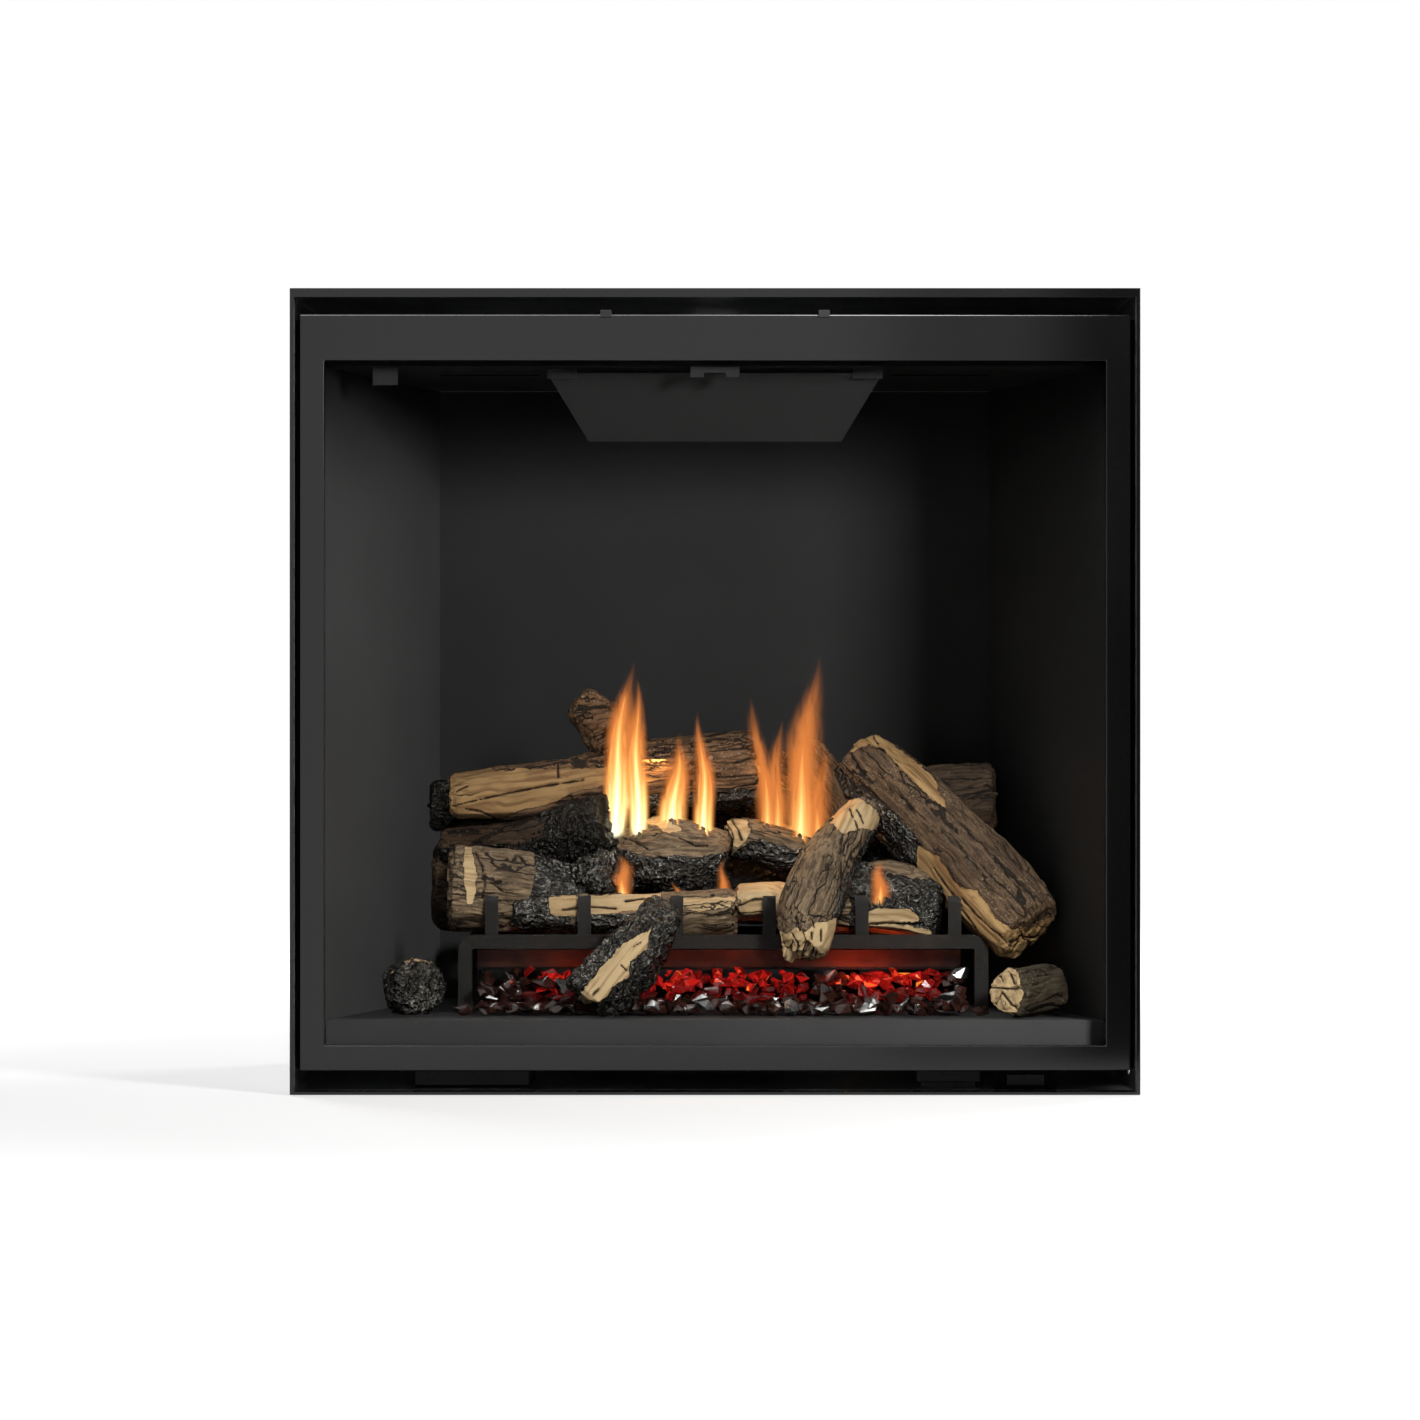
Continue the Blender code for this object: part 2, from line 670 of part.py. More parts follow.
def make_firebox():
    wall_low = FLOOR_HEIGHT - SHEET
    wall_high = CEILING_HEIGHT - GAP
    slope = WALL_SPLAY / (FIREBOX_BACK - FIREBOX_FRONT)
    across = FIREBOX_SHEET * math.hypot(1, slope)
    for side, name in ((-1, "firebox_left"), (1, "firebox_right")):
        outline = [
            (side * wall_half(FIREBOX_FRONT), FIREBOX_FRONT),
            (side * (wall_half(FIREBOX_FRONT) + across), FIREBOX_FRONT),
            (side * (wall_half(FIREBOX_BACK) + across), FIREBOX_BACK),
            (side * wall_half(FIREBOX_BACK), FIREBOX_BACK),
        ]
        make(name, extrusion(outline, wall_low, wall_high, along_z), FIREBOX_BLACK)
    back = FIREBOX_BACK + GAP
    outline = rectangle(wall_half(FIREBOX_BACK) + across, wall_low, wall_high)
    make("firebox_back", extrusion(outline, back, back + FIREBOX_SHEET, along_y), FIREBOX_BLACK)

    ledge_back = LEDGE_SETBACK + LEDGE_DEPTH
    outline = [
        (LEDGE_SETBACK, FLOOR_HEIGHT - LEDGE_DROP),
        (LEDGE_SETBACK + SHEET, FLOOR_HEIGHT - LEDGE_DROP),
        (LEDGE_SETBACK + SHEET, FLOOR_HEIGHT - SHEET),
        (ledge_back, FLOOR_HEIGHT - SHEET),
        (ledge_back, FLOOR_HEIGHT),
        (LEDGE_SETBACK, FLOOR_HEIGHT),
    ]
    ledge_half = wall_half(ledge_back) - GAP
    make("hearth_ledge", extrusion(outline, -ledge_half, ledge_half, along_x), FIREBOX_BLACK)

    floor_plan = flat_trapezoid(ledge_back + GAP, FIREBOX_BACK, GAP)
    floor = make(
        "firebox_floor", extrusion(floor_plan, FLOOR_HEIGHT - SHEET, FLOOR_HEIGHT, along_z), FIREBOX_BLACK
    )
    throat = circle(VENTURI_RADIUS + GAP, ROUND_SIDES, (VENTURI_OFFSET, VENTURI_SETBACK))
    cut(floor, extrusion(throat, FLOOR_HEIGHT - SHEET - OVERRUN, FLOOR_HEIGHT + OVERRUN, along_z))

    roof = [
        (side * (wall_half(depth) + across), depth)
        for side, depth in ((-1, FIREBOX_FRONT), (1, FIREBOX_FRONT), (1, FIREBOX_BACK), (-1, FIREBOX_BACK))
    ]
    ceiling = make(
        "firebox_ceiling", extrusion(roof, CEILING_HEIGHT, CEILING_HEIGHT + SHEET, along_z), FIREBOX_BLACK
    )
    slot_back = FIREBOX_BACK - SLOT_SETBACK
    holes = [(0, SLOT_WIDTH, slot_back - SLOT_DEPTH, slot_back)]
    for side in (-1, 1):
        holes.append((side * FLAP_OFFSET, FLAP_HOLE_WIDTH, FLAP_SETBACK - FLAP_HOLE_DEPTH, FLAP_SETBACK))
    for middle, width, front, back in holes:
        low = (middle - width / 2, deep(front), CEILING_HEIGHT - OVERRUN)
        high = (middle + width / 2, deep(back), CEILING_HEIGHT + SHEET + OVERRUN)
        cut(ceiling, block(low, high))


def make_relief_flaps():
    """Two light doors that lie over the ceiling's holes and swing up round a rolled rear edge."""
    roof = CEILING_HEIGHT + SHEET + GAP
    for side, name in ((-1, "relief_flap_left"), (1, "relief_flap_right")):
        middle = side * FLAP_OFFSET
        half = FLAP_HOLE_WIDTH / 2 + FLAP_LAP
        back = FLAP_SETBACK + FLAP_LAP + FLAP_ROLL_RADIUS
        low = (middle - half, deep(FLAP_SETBACK - FLAP_HOLE_DEPTH - FLAP_LAP), roof)
        flap = make(name, block(low, (middle + half, deep(back), roof + SHEET)), FIREBOX_BLACK)
        axis = (back, roof + FLAP_ROLL_RADIUS)
        roll = circle(FLAP_ROLL_RADIUS, ROUND_SIDES, axis)
        join(flap, extrusion(roll, middle - half, middle + half, along_x))
        pivot_at(flap, (middle, deep(axis[0]), axis[1]))


# Exhaust: box over the slot, sliding restrictor, and two flue collars


def make_exhaust():
    low = CEILING_HEIGHT + SHEET + GAP
    high = low + EXHAUST_RISE
    rear_front = FIREBOX_BACK + FIREBOX_SHEET + GAP + GAP
    rear_back = rear_front + EXHAUST_REAR
    front = FIREBOX_BACK - EXHAUST_TOP_DEPTH
    bottom = CEILING_HEIGHT - EXHAUST_DROP
    half = EXHAUST_WIDTH / 2
    outline = [
        (front, low),
        (rear_front, low),
        (rear_front, bottom),
        (rear_back, bottom),
        (rear_back, high),
        (front, high),
    ]
    box = make("exhaust_box", extrusion(outline, -half, half, along_x), CASING_STEEL)
    wall = SHEET
    hollow = [
        (front + wall, low - OVERRUN),
        (FIREBOX_BACK - wall, low - OVERRUN),
        (FIREBOX_BACK - wall, low + wall),
        (rear_front + wall, low + wall),
        (rear_front + wall, bottom + wall),
        (rear_back - wall, bottom + wall),
        (rear_back - wall, high - wall),
        (front + wall, high - wall),
    ]
    cut(box, extrusion(hollow, -half + wall, half - wall, along_x))
    spigot = circle(INNER_FLUE_RADIUS - FLUE_WALL, FLUE_SIDES, (0, flue_height()))
    cut(box, extrusion(spigot, rear_back - wall - OVERRUN, rear_back + OVERRUN, along_y))

    end = CASING_DEPTH + FLUE_PROJECTION
    make_collar("inner_flue_collar", INNER_FLUE_RADIUS, rear_back + GAP, end)
    outer = make_collar("outer_flue_collar", OUTER_FLUE_RADIUS, CASING_DEPTH + GAP, end)
    middle = flue_height()
    plate = rectangle(FLANGE_SIZE / 2, middle - FLANGE_SIZE / 2, middle + FLANGE_SIZE / 2)
    join(outer, extrusion(plate, CASING_DEPTH + GAP, CASING_DEPTH + GAP + SHEET, along_y))
    bore = circle(OUTER_FLUE_RADIUS - FLUE_WALL, FLUE_SIDES, (0, middle))
    cut(outer, extrusion(bore, CASING_DEPTH - OVERRUN, end + OVERRUN, along_y))
    round_off(outer)


def make_collar(name, radius, start, end):
    centre = (0, flue_height())
    piece = make(name, extrusion(circle(radius, FLUE_SIDES, centre), start, end, along_y), CASING_STEEL)
    bore = circle(radius - FLUE_WALL, FLUE_SIDES, centre)
    cut(piece, extrusion(bore, start - OVERRUN, end + OVERRUN, along_y))
    round_off(piece)
    return piece


def make_restrictor():
    """A perforated plate that lies over the exhaust slot and slides along it."""
    middle = FIREBOX_BACK - SLOT_SETBACK - SLOT_DEPTH / 2
    low = CEILING_HEIGHT + SHEET + GAP
    front = middle - RESTRICTOR_DEPTH / 2
    half = RESTRICTOR_WIDTH / 2
    corner = (-half, deep(front), low)
    plate = make(
        "restrictor_plate", block(corner, (half, deep(front + RESTRICTOR_DEPTH), low + SHEET)), CASING_STEEL
    )
    pitch = SLOT_WIDTH / RESTRICTOR_WINDOWS
    for i in range(RESTRICTOR_WINDOWS):
        left = -SLOT_WIDTH / 2 + pitch * (i + 1) - RESTRICTOR_TRAVEL
        window_low = (left, deep(middle - SLOT_DEPTH / 2), low - OVERRUN)
        window_high = (left + RESTRICTOR_TRAVEL - SHEET, deep(middle + SLOT_DEPTH / 2), low + SHEET + OVERRUN)
        cut(plate, block(window_low, window_high))


# Baffle under the ceiling


def make_baffle():
    top = CEILING_HEIGHT - BAFFLE_TOP_DROP
    length = math.hypot(BAFFLE_FALL, BAFFLE_BOTTOM_SETBACK - BAFFLE_TOP_SETBACK)
    across = SHEET * length / BAFFLE_FALL
    rings = []
    for width, depth, height in (
        (BAFFLE_TOP_WIDTH, BAFFLE_TOP_SETBACK, top),
        (BAFFLE_BOTTOM_WIDTH, BAFFLE_BOTTOM_SETBACK, top - BAFFLE_FALL),
    ):
        corners = [(-1, 0), (1, 0), (1, across), (-1, across)]
        rings.append([Vector((side * width / 2, deep(depth + back), height)) for side, back in corners])
    shape = bmesh.new()
    add_faces(shape, rings)
    baffle = make("baffle", shape, FIREBOX_BLACK)
    notch_half = BAFFLE_NOTCH_WIDTH / 2
    foot_top = CEILING_HEIGHT - GAP
    for side in (-1, 1):
        ends = sorted((side * notch_half, side * BAFFLE_TOP_WIDTH / 2))
        low = (ends[0], deep(BAFFLE_TOP_SETBACK), top - BAFFLE_NOTCH_DEPTH)
        join(baffle, block(low, (ends[1], deep(BAFFLE_TOP_SETBACK + across), foot_top)))

    half = BRACKET_WIDTH / 2
    front = BAFFLE_TOP_SETBACK - BRACKET_DEPTH + SHEET
    outline = [
        (front, foot_top - BRACKET_LIP),
        (front + SHEET, foot_top - BRACKET_LIP),
        (front + SHEET, foot_top - SHEET),
        (front + BRACKET_DEPTH, foot_top - SHEET),
        (front + BRACKET_DEPTH, foot_top),
        (front, foot_top),
    ]
    bracket = make("baffle_bracket", extrusion(outline, -half, half, along_x), CASING_STEEL)
    notch_low = (-BRACKET_NOTCH_WIDTH / 2, deep(front - OVERRUN), foot_top - BRACKET_LIP - OVERRUN)
    notch_high_z = foot_top - BRACKET_LIP + BRACKET_NOTCH_HEIGHT
    cut(bracket, block(notch_low, (BRACKET_NOTCH_WIDTH / 2, deep(front + SHEET + OVERRUN), notch_high_z)))

    outline = [
        (CLIP_SETBACK, foot_top - CLIP_HEIGHT),
        (CLIP_SETBACK + SHEET, foot_top - CLIP_HEIGHT),
        (CLIP_SETBACK + SHEET, foot_top - SHEET),
        (CLIP_SETBACK + CLIP_FOOT, foot_top - SHEET),
        (CLIP_SETBACK + CLIP_FOOT, foot_top),
        (CLIP_SETBACK, foot_top),
    ]
    ends = (-CLIP_OFFSET - CLIP_WIDTH / 2, -CLIP_OFFSET + CLIP_WIDTH / 2)
    make("sensor_clip", extrusion(outline, *ends, along_x), CASING_STEEL)


# Log grate


def tine_places():
    first = GRATE_SHIFT - TINE_SPACING * (TINES - 1) / 2
    return [first + TINE_SPACING * i for i in range(TINES)]


def grate_shapes(grow):
    """The grate's bars as overlapping shapes, each swollen by grow so that it can also cut seats."""
    floor = FLOOR_HEIGHT + GAP
    half = GRATE_WIDTH / 2
    outer_bend = GRATE_BEND
    inner_bend = GRATE_BEND - BAR_SIZE
    inside = half - BAR_SIZE
    under = GRATE_TOP - BAR_SIZE
    quarter_share = 0.25
    steps = 4
    outline = [(GRATE_SHIFT + half + grow, floor)]
    corner = (GRATE_SHIFT + half - outer_bend, GRATE_TOP - outer_bend)
    outline += arc(corner, outer_bend + grow, 0, quarter_share, steps)
    corner = (GRATE_SHIFT - half + outer_bend, GRATE_TOP - outer_bend)
    outline += arc(corner, outer_bend + grow, quarter_share, 2 * quarter_share, steps)
    outline += [(GRATE_SHIFT - half - grow, floor), (GRATE_SHIFT - inside + grow, floor)]
    corner = (GRATE_SHIFT - inside + inner_bend, under - inner_bend)
    outline += arc(corner, inner_bend - grow, 2 * quarter_share, quarter_share, steps)
    corner = (GRATE_SHIFT + inside - inner_bend, under - inner_bend)
    outline += arc(corner, inner_bend - grow, quarter_share, 0, steps)
    outline.append((GRATE_SHIFT + inside - grow, floor))
    back = GRATE_SETBACK + GRATE_DEPTH
    shapes = [
        lambda: extrusion(outline, GRATE_SETBACK - grow, GRATE_SETBACK + BAR_SIZE + grow, along_y),
        lambda: extrusion(outline, back - BAR_SIZE - grow, back + grow, along_y),
    ]
    tine_front = GRATE_SETBACK + TINE_THICKNESS / 3
    tine_back = tine_front + TINE_THICKNESS
    tip = GRATE_TOP + TINE_RISE
    tine = [
        (tine_front - grow, GRATE_TOP - BAR_SIZE / 2),
        (tine_back + grow, GRATE_TOP - BAR_SIZE / 2),
        (tine_back + grow, tip - TINE_TIP_HEIGHT),
        (tine_back + TINE_LEAN + grow, tip + grow),
        (tine_front + TINE_LEAN, tip + grow),
        (tine_front - grow, tip - TINE_TIP_HEIGHT),
    ]
    for middle in tine_places():
        ends = (middle - TINE_WIDTH / 2 - grow, middle + TINE_WIDTH / 2 + grow)
        low = (ends[0], deep(GRATE_SETBACK + BAR_SIZE / 2), GRATE_TOP - CROSS_BAR_HEIGHT)
        high = (ends[1], deep(back - BAR_SIZE / 2), GRATE_TOP - SHEET / 2 + grow)
        shapes.append(lambda low=low, high=high: block(low, high))
        shapes.append(lambda ends=ends: extrusion(tine, *ends, along_x))
    return shapes


def make_grate():
    shapes = [shape() for shape in grate_shapes(0)]
    grate = make("log_grate", shapes[0], GRATE_BLACK)
    join(grate, *shapes[1:])


# Burner, venturi, shutter, pilot and embers


def make_burner():
    half = BURNER_WIDTH / 2
    low = BURNER_TOP - BURNER_HEIGHT
    back = BURNER_SETBACK + BURNER_DEPTH
    middle = GRATE_SHIFT / 2
    corner = (middle - half, deep(BURNER_SETBACK), low)
    pan = make("burner_pan", block(corner, (middle + half, deep(back), BURNER_TOP)), BURNER_STEEL)
    foot_sides = sorted((half, half - BURNER_SHEET))
    for side in (-1, 1):
        ends = sorted(middle + side * edge for edge in foot_sides)
        foot_low = (ends[0], deep(BURNER_SETBACK), FLOOR_HEIGHT + GAP)
        foot_high = (ends[1], deep(BURNER_SETBACK + BURNER_FOOT_DEPTH), BURNER_TOP - BURNER_SHEET)
        rear_low = (ends[0], deep(back - BURNER_FOOT_DEPTH), FLOOR_HEIGHT + GAP)
        rear_high = (ends[1], deep(back), BURNER_TOP - BURNER_SHEET)
        join(pan, block(foot_low, foot_high), block(rear_low, rear_high))
    wall = BURNER_SHEET
    inner_low = (middle - half + wall, deep(BURNER_SETBACK + wall), low + wall)
    cut(pan, block(inner_low, (middle + half - wall, deep(back - wall), BURNER_TOP - wall)))
    row_pitch = BURNER_DEPTH / (PORT_ROWS + 1)
    port_pitch = BURNER_WIDTH / (PORTS_PER_ROW + 1)
    for row in range(PORT_ROWS):
        for i in range(PORTS_PER_ROW):
            centre = (middle - half + port_pitch * (i + 1), BURNER_SETBACK + row_pitch * (row + 1))
            port = circle(PORT_RADIUS, PORT_SIDES, centre)
            cut(pan, extrusion(port, BURNER_TOP - wall - OVERRUN, BURNER_TOP + OVERRUN, along_z))

    tube_top = low + wall / 2
    tube_bottom = FLOOR_HEIGHT - VENTURI_DROP
    centre = (VENTURI_OFFSET, VENTURI_SETBACK)
    join(pan, extrusion(circle(VENTURI_RADIUS, ROUND_SIDES, centre), tube_bottom, tube_top, along_z))
    bore = circle(VENTURI_RADIUS - VENTURI_WALL, ROUND_SIDES, centre)
    cut(pan, extrusion(bore, tube_bottom - OVERRUN, tube_top + OVERRUN, along_z))
    cut(pan, block(*shutter_window(tube_bottom)))
    round_off(pan)


def shutter_window(tube_bottom):
    """The air window through the front of the venturi, and through its shutter."""
    low_z = tube_bottom + (SHUTTER_HEIGHT - SHUTTER_WINDOW_HEIGHT) / 2
    half = SHUTTER_WINDOW_WIDTH / 2
    outside = VENTURI_RADIUS + SHUTTER_WALL + OVERRUN
    low = (VENTURI_OFFSET - half, deep(VENTURI_SETBACK) - outside, low_z)
    high = (VENTURI_OFFSET + half, deep(VENTURI_SETBACK), low_z + SHUTTER_WINDOW_HEIGHT)
    return low, high


def make_air_shutter():
    """A sleeve round the venturi's lower end, turned by a tab at the left."""
    bottom = FLOOR_HEIGHT - VENTURI_DROP
    top = bottom + SHUTTER_HEIGHT
    centre = (VENTURI_OFFSET, VENTURI_SETBACK)
    inner = VENTURI_RADIUS + GAP
    outer = inner + SHUTTER_WALL
    outside = circle(outer, ROUND_SIDES * 2, centre)
    sleeve = make("air_shutter", extrusion(outside, bottom, top, along_z), BRASS)
    tab_half = SHUTTER_TAB_WIDTH / 2
    tab_low = (centre[0] - outer - SHUTTER_TAB, deep(centre[1]) - tab_half, bottom)
    join(sleeve, block(tab_low, (centre[0], deep(centre[1]) + tab_half, bottom + SHEET)))
    bore = circle(inner / math.cos(math.pi / ROUND_SIDES / 2), ROUND_SIDES * 2, centre)
    cut(sleeve, extrusion(bore, bottom - OVERRUN, top + OVERRUN, along_z))
    cut(sleeve, block(*shutter_window(bottom)))
    round_off(sleeve)
    pivot_at(sleeve, (centre[0], deep(centre[1]), bottom + SHUTTER_HEIGHT / 2))


def make_pilot():
    base = FLOOR_HEIGHT + GAP
    half = PILOT_BASE / 2
    low = (PILOT_OFFSET - half, deep(PILOT_SETBACK), base)
    high = (PILOT_OFFSET + half, deep(PILOT_SETBACK + PILOT_BASE_DEPTH), base + SHEET)
    pilot = make("pilot_assembly", block(low, high), CASING_STEEL)
    centre = (PILOT_OFFSET - ELECTRODE_SPACING / 2, PILOT_SETBACK + PILOT_BASE_DEPTH / 2)
    post_top = base + PILOT_POST_HEIGHT
    start = base + SHEET / 2
    post = circle(PILOT_RADIUS, ROUND_SIDES, centre)
    hood = circle(PILOT_HOOD_RADIUS, ROUND_SIDES, centre)
    electrode = circle(ELECTRODE_RADIUS, ROUND_SIDES, (centre[0] + ELECTRODE_SPACING, centre[1]))
    join(
        pilot,
        extrusion(post, start, post_top, along_z),
        extrusion(hood, post_top - OVERRUN, post_top + PILOT_HOOD_HEIGHT, along_z),
        extrusion(electrode, start, start + ELECTRODE_HEIGHT, along_z),
    )
    round_off(pilot)


def make_embers():
    """The bed of crushed glass: low at the front, banked up against the burner pan."""
    left = GRATE_SHIFT - GRATE_WIDTH / 2 + BAR_SIZE + GAP
    right = GRATE_SHIFT + GRATE_WIDTH / 2 - BAR_SIZE - GAP
    base = FLOOR_HEIGHT + GAP
    back = BURNER_SETBACK - GAP
    rings = []
    for column in range(EMBER_COLUMNS + 1):
        x = left + (right - left) * column / EMBER_COLUMNS
        top = []
        for row in range(EMBER_ROWS + 1):
            share = row / EMBER_ROWS
            height = EMBER_FRONT_HEIGHT + (EMBER_BACK_HEIGHT - EMBER_FRONT_HEIGHT) * share
            height += EMBER_LUMP * math.sin(column * 2 + row * 3) * math.sin(math.pi * share)
            depth = EMBER_FRONT_SETBACK + (back - EMBER_FRONT_SETBACK) * share
            top.append(Vector((x, deep(depth), base + height)))
        front_foot = Vector((x, deep(EMBER_FRONT_SETBACK), base))
        back_foot = Vector((x, deep(back), base))
        rings.append([front_foot] + top + [back_foot])
    shape = bmesh.new()
    add_faces(shape, rings)
    bed = make("ember_bed", shape, EMBER_GLASS)
    leaning = next(log for log in LOGS if log.name == "leaning_log")
    cut(bed, *leaning.shapes(LOG_SEAT))


# Gas train


def make_gas_train():
    base = SHEET + GAP
    middle_z = base + VALVE_FOOT + VALVE_HEIGHT / 2
    middle_d = VALVE_SETBACK + VALVE_DEPTH / 2
    half = VALVE_WIDTH / 2
    low = (VALVE_OFFSET - half, deep(VALVE_SETBACK), base + VALVE_FOOT)
    high = (VALVE_OFFSET + half, deep(VALVE_SETBACK + VALVE_DEPTH), base + VALVE_FOOT + VALVE_HEIGHT)
    valve = make("gas_valve", block(low, high), ALUMINIUM)
    ease_edges(valve, OVERRUN)
    foot_half = half - VALVE_FOOT
    foot_low = (VALVE_OFFSET - foot_half, deep(VALVE_SETBACK + VALVE_FOOT), base)
    foot_high = (
        VALVE_OFFSET + foot_half, deep(VALVE_SETBACK + VALVE_DEPTH - VALVE_FOOT), base + VALVE_FOOT + OVERRUN
    )
    join(valve, block(foot_low, foot_high))

    knob_centre = (VALVE_OFFSET, middle_z)
    stem_start = VALVE_SETBACK - GAP
    stem_end = stem_start - KNOB_STEM_LENGTH
    grip = []
    for i in range(KNOB_GRIPS * 2):
        radius = KNOB_RADIUS - KNOB_GRIP_DEPTH * (i % 2)
        angle = math.tau * i / (KNOB_GRIPS * 2)
        grip.append((knob_centre[0] + radius * math.cos(angle), knob_centre[1] + radius * math.sin(angle)))
    knob = make("valve_knob", extrusion(grip, stem_end - KNOB_LENGTH, stem_end, along_y), BLACK_PLASTIC)
    stem = circle(KNOB_STEM_RADIUS, ROUND_SIDES, knob_centre)
    join(knob, extrusion(stem, stem_end - OVERRUN, stem_start, along_y))
    pivot_at(knob, (knob_centre[0], deep(stem_start), knob_centre[1]))

    make_manifold(middle_d, middle_z)
    make_shutoff(middle_d, middle_z)


def pipe(points, radius, sides):
    """A bent pipe as rings of points square to its route."""
    rings = []
    for i, point in enumerate(points):
        before = points[max(i - 1, 0)]
        after = points[min(i + 1, len(points) - 1)]
        along = (after - before).normalized()
        side = along.cross(Vector((0, 1, 0)))
        side = side.normalized() if side.length > GAP else Vector((1, 0, 0))
        other = along.cross(side).normalized()
        rings.append([point + side * u + other * v for u, v in circle(radius, sides)])
    shape = bmesh.new()
    add_faces(shape, rings)
    return shape


def make_manifold(middle_d, middle_z):
    """The pipe from the valve's rear to the orifice that points up into the venturi."""
    start = Vector((VALVE_OFFSET, deep(VALVE_SETBACK + VALVE_DEPTH + GAP), middle_z))
    orifice_top = FLOOR_HEIGHT - VENTURI_DROP - GAP
    orifice_low = orifice_top - ORIFICE_HEIGHT
    turn = Vector((VALVE_OFFSET, deep(VENTURI_SETBACK), orifice_low - PIPE_RADIUS))
    end = Vector((VENTURI_OFFSET, deep(VENTURI_SETBACK), orifice_low - PIPE_RADIUS))
    fall = Vector((VALVE_OFFSET, (start.y + turn.y) / 2, start.z))
    points = [start] + bend(start, fall, turn) + bend(fall, turn, end) + [end]
    manifold = make("gas_manifold", pipe(points, PIPE_RADIUS, ROUND_SIDES), BRASS)
    centre = (VENTURI_OFFSET, VENTURI_SETBACK)
    holder = circle(ORIFICE_RADIUS, ROUND_SIDES, centre)
    join(manifold, extrusion(holder, orifice_low - 2 * PIPE_RADIUS, orifice_top, along_z))
    round_off(manifold)


def bend(before, corner, after):
    """Points that round the corner of a pipe's route."""
    reach = 4 * PIPE_RADIUS
    start = corner + (before - corner).normalized() * reach
    end = corner + (after - corner).normalized() * reach
    steps = 5
    curve = []
    for i in range(steps + 1):
        t = i / steps
        curve.append(start * (1 - t) ** 2 + corner * 2 * t * (1 - t) + end * t**2)
    return curve


def make_shutoff(middle_d, middle_z):
    """A ball valve in the supply line at the right, with a quarter-turn handle in front."""
    centre = (deep(middle_d), middle_z)
    body_start = SHUTOFF_OFFSET - SHUTOFF_LENGTH / 2
    body_end = SHUTOFF_OFFSET + SHUTOFF_LENGTH / 2
    valve_side = VALVE_OFFSET + VALVE_WIDTH / 2 + GAP
    inlet_end = SIDE_PANEL_X - SHEET - INLET_END_CLEARANCE

    def rod(radius, start, end, sides=ROUND_SIDES):
        shape = bmesh.new()
        ring = circle(radius, sides, centre)
        add_faces(shape, [[Vector((x, y, z)) for y, z in ring] for x in (start, end)])
        return shape

    body = make("shutoff_valve", rod(SHUTOFF_RADIUS, body_start, body_end), BRASS)
    nut_end = valve_side + SHUTOFF_RADIUS
    join(
        body,
        rod(PIPE_RADIUS, valve_side, body_start + OVERRUN),
        rod(INLET_RADIUS, body_end - OVERRUN, inlet_end),
        rod(SHUTOFF_RADIUS - OVERRUN, valve_side, nut_end, ROUND_SIDES // 2),
    )
    round_off(body)

    stem_start = middle_d - SHUTOFF_RADIUS - GAP
    stem_end = stem_start - HANDLE_STEM_LENGTH
    stem_centre = (SHUTOFF_OFFSET, middle_z)
    stem = circle(HANDLE_STEM_RADIUS, ROUND_SIDES, stem_centre)
    handle = make("shutoff_handle", extrusion(stem, stem_end - OVERRUN, stem_start, along_y), RED_PLASTIC)
    low = (SHUTOFF_OFFSET - HANDLE_WIDTH / 2, deep(stem_end - HANDLE_THICKNESS), middle_z - HANDLE_WIDTH / 2)
    high = (SHUTOFF_OFFSET + HANDLE_LENGTH, deep(stem_end), middle_z + HANDLE_WIDTH / 2)
    join(handle, block(low, high))
    pivot_at(handle, (SHUTOFF_OFFSET, deep(stem_start), middle_z))


# Electrics


def make_electrics():
    base = SHEET + GAP
    half = MODULE_WIDTH / 2
    low = (MODULE_OFFSET - half, deep(MODULE_SETBACK), base)
    high = (MODULE_OFFSET + half, deep(MODULE_SETBACK + MODULE_DEPTH), base + MODULE_HEIGHT)
    module = make("control_module", block(low, high), BLACK_PLASTIC)
    ease_edges(module, MODULE_ROUND)

    half = SWITCH_PLATE_WIDTH / 2
    front = SWITCH_SETBACK
    outline = [
        (front, base),
        (front + SWITCH_PLATE_FOOT, base),
        (front + SWITCH_PLATE_FOOT, base + SHEET),
        (front + SHEET, base + SHEET),
        (front + SHEET, base + SWITCH_PLATE_HEIGHT),
        (front, base + SWITCH_PLATE_HEIGHT),
    ]
    ends = (SWITCH_OFFSET - half, SWITCH_OFFSET + half)
    plate = make("switch_plate", extrusion(outline, *ends, along_x), CASING_STEEL)
    middle_z = base + SWITCH_PLATE_HEIGHT / 2 + SHEET / 2
    rocker_half = ROCKER_WIDTH / 2
    window_half = rocker_half + ROCKER_CLEARANCE
    window_rise = ROCKER_HEIGHT / 2 + GAP
    window_low = (SWITCH_OFFSET - window_half, deep(front - OVERRUN), middle_z - window_rise)
    window_high = (SWITCH_OFFSET + window_half, deep(front + SHEET + OVERRUN), middle_z + window_rise)
    cut(plate, block(window_low, window_high))

    face = front - ROCKER_PROUD
    hollow_share = 0.4
    profile = [
        (SWITCH_OFFSET - rocker_half, face),
        (SWITCH_OFFSET, face + ROCKER_PROUD * hollow_share),
        (SWITCH_OFFSET + rocker_half, face),
        (SWITCH_OFFSET + rocker_half, front + SHEET),
        (SWITCH_OFFSET + rocker_half / 2, face + ROCKER_DEPTH),
        (SWITCH_OFFSET - rocker_half / 2, face + ROCKER_DEPTH),
        (SWITCH_OFFSET - rocker_half, front + SHEET),
    ]
    rise = ROCKER_HEIGHT / 2
    body = extrusion(profile, middle_z - rise, middle_z + rise, along_z)
    rocker = make("rocker_switch", body, BLACK_PLASTIC)
    pivot_at(rocker, (SWITCH_OFFSET, deep(front + SHEET / 2), middle_z))


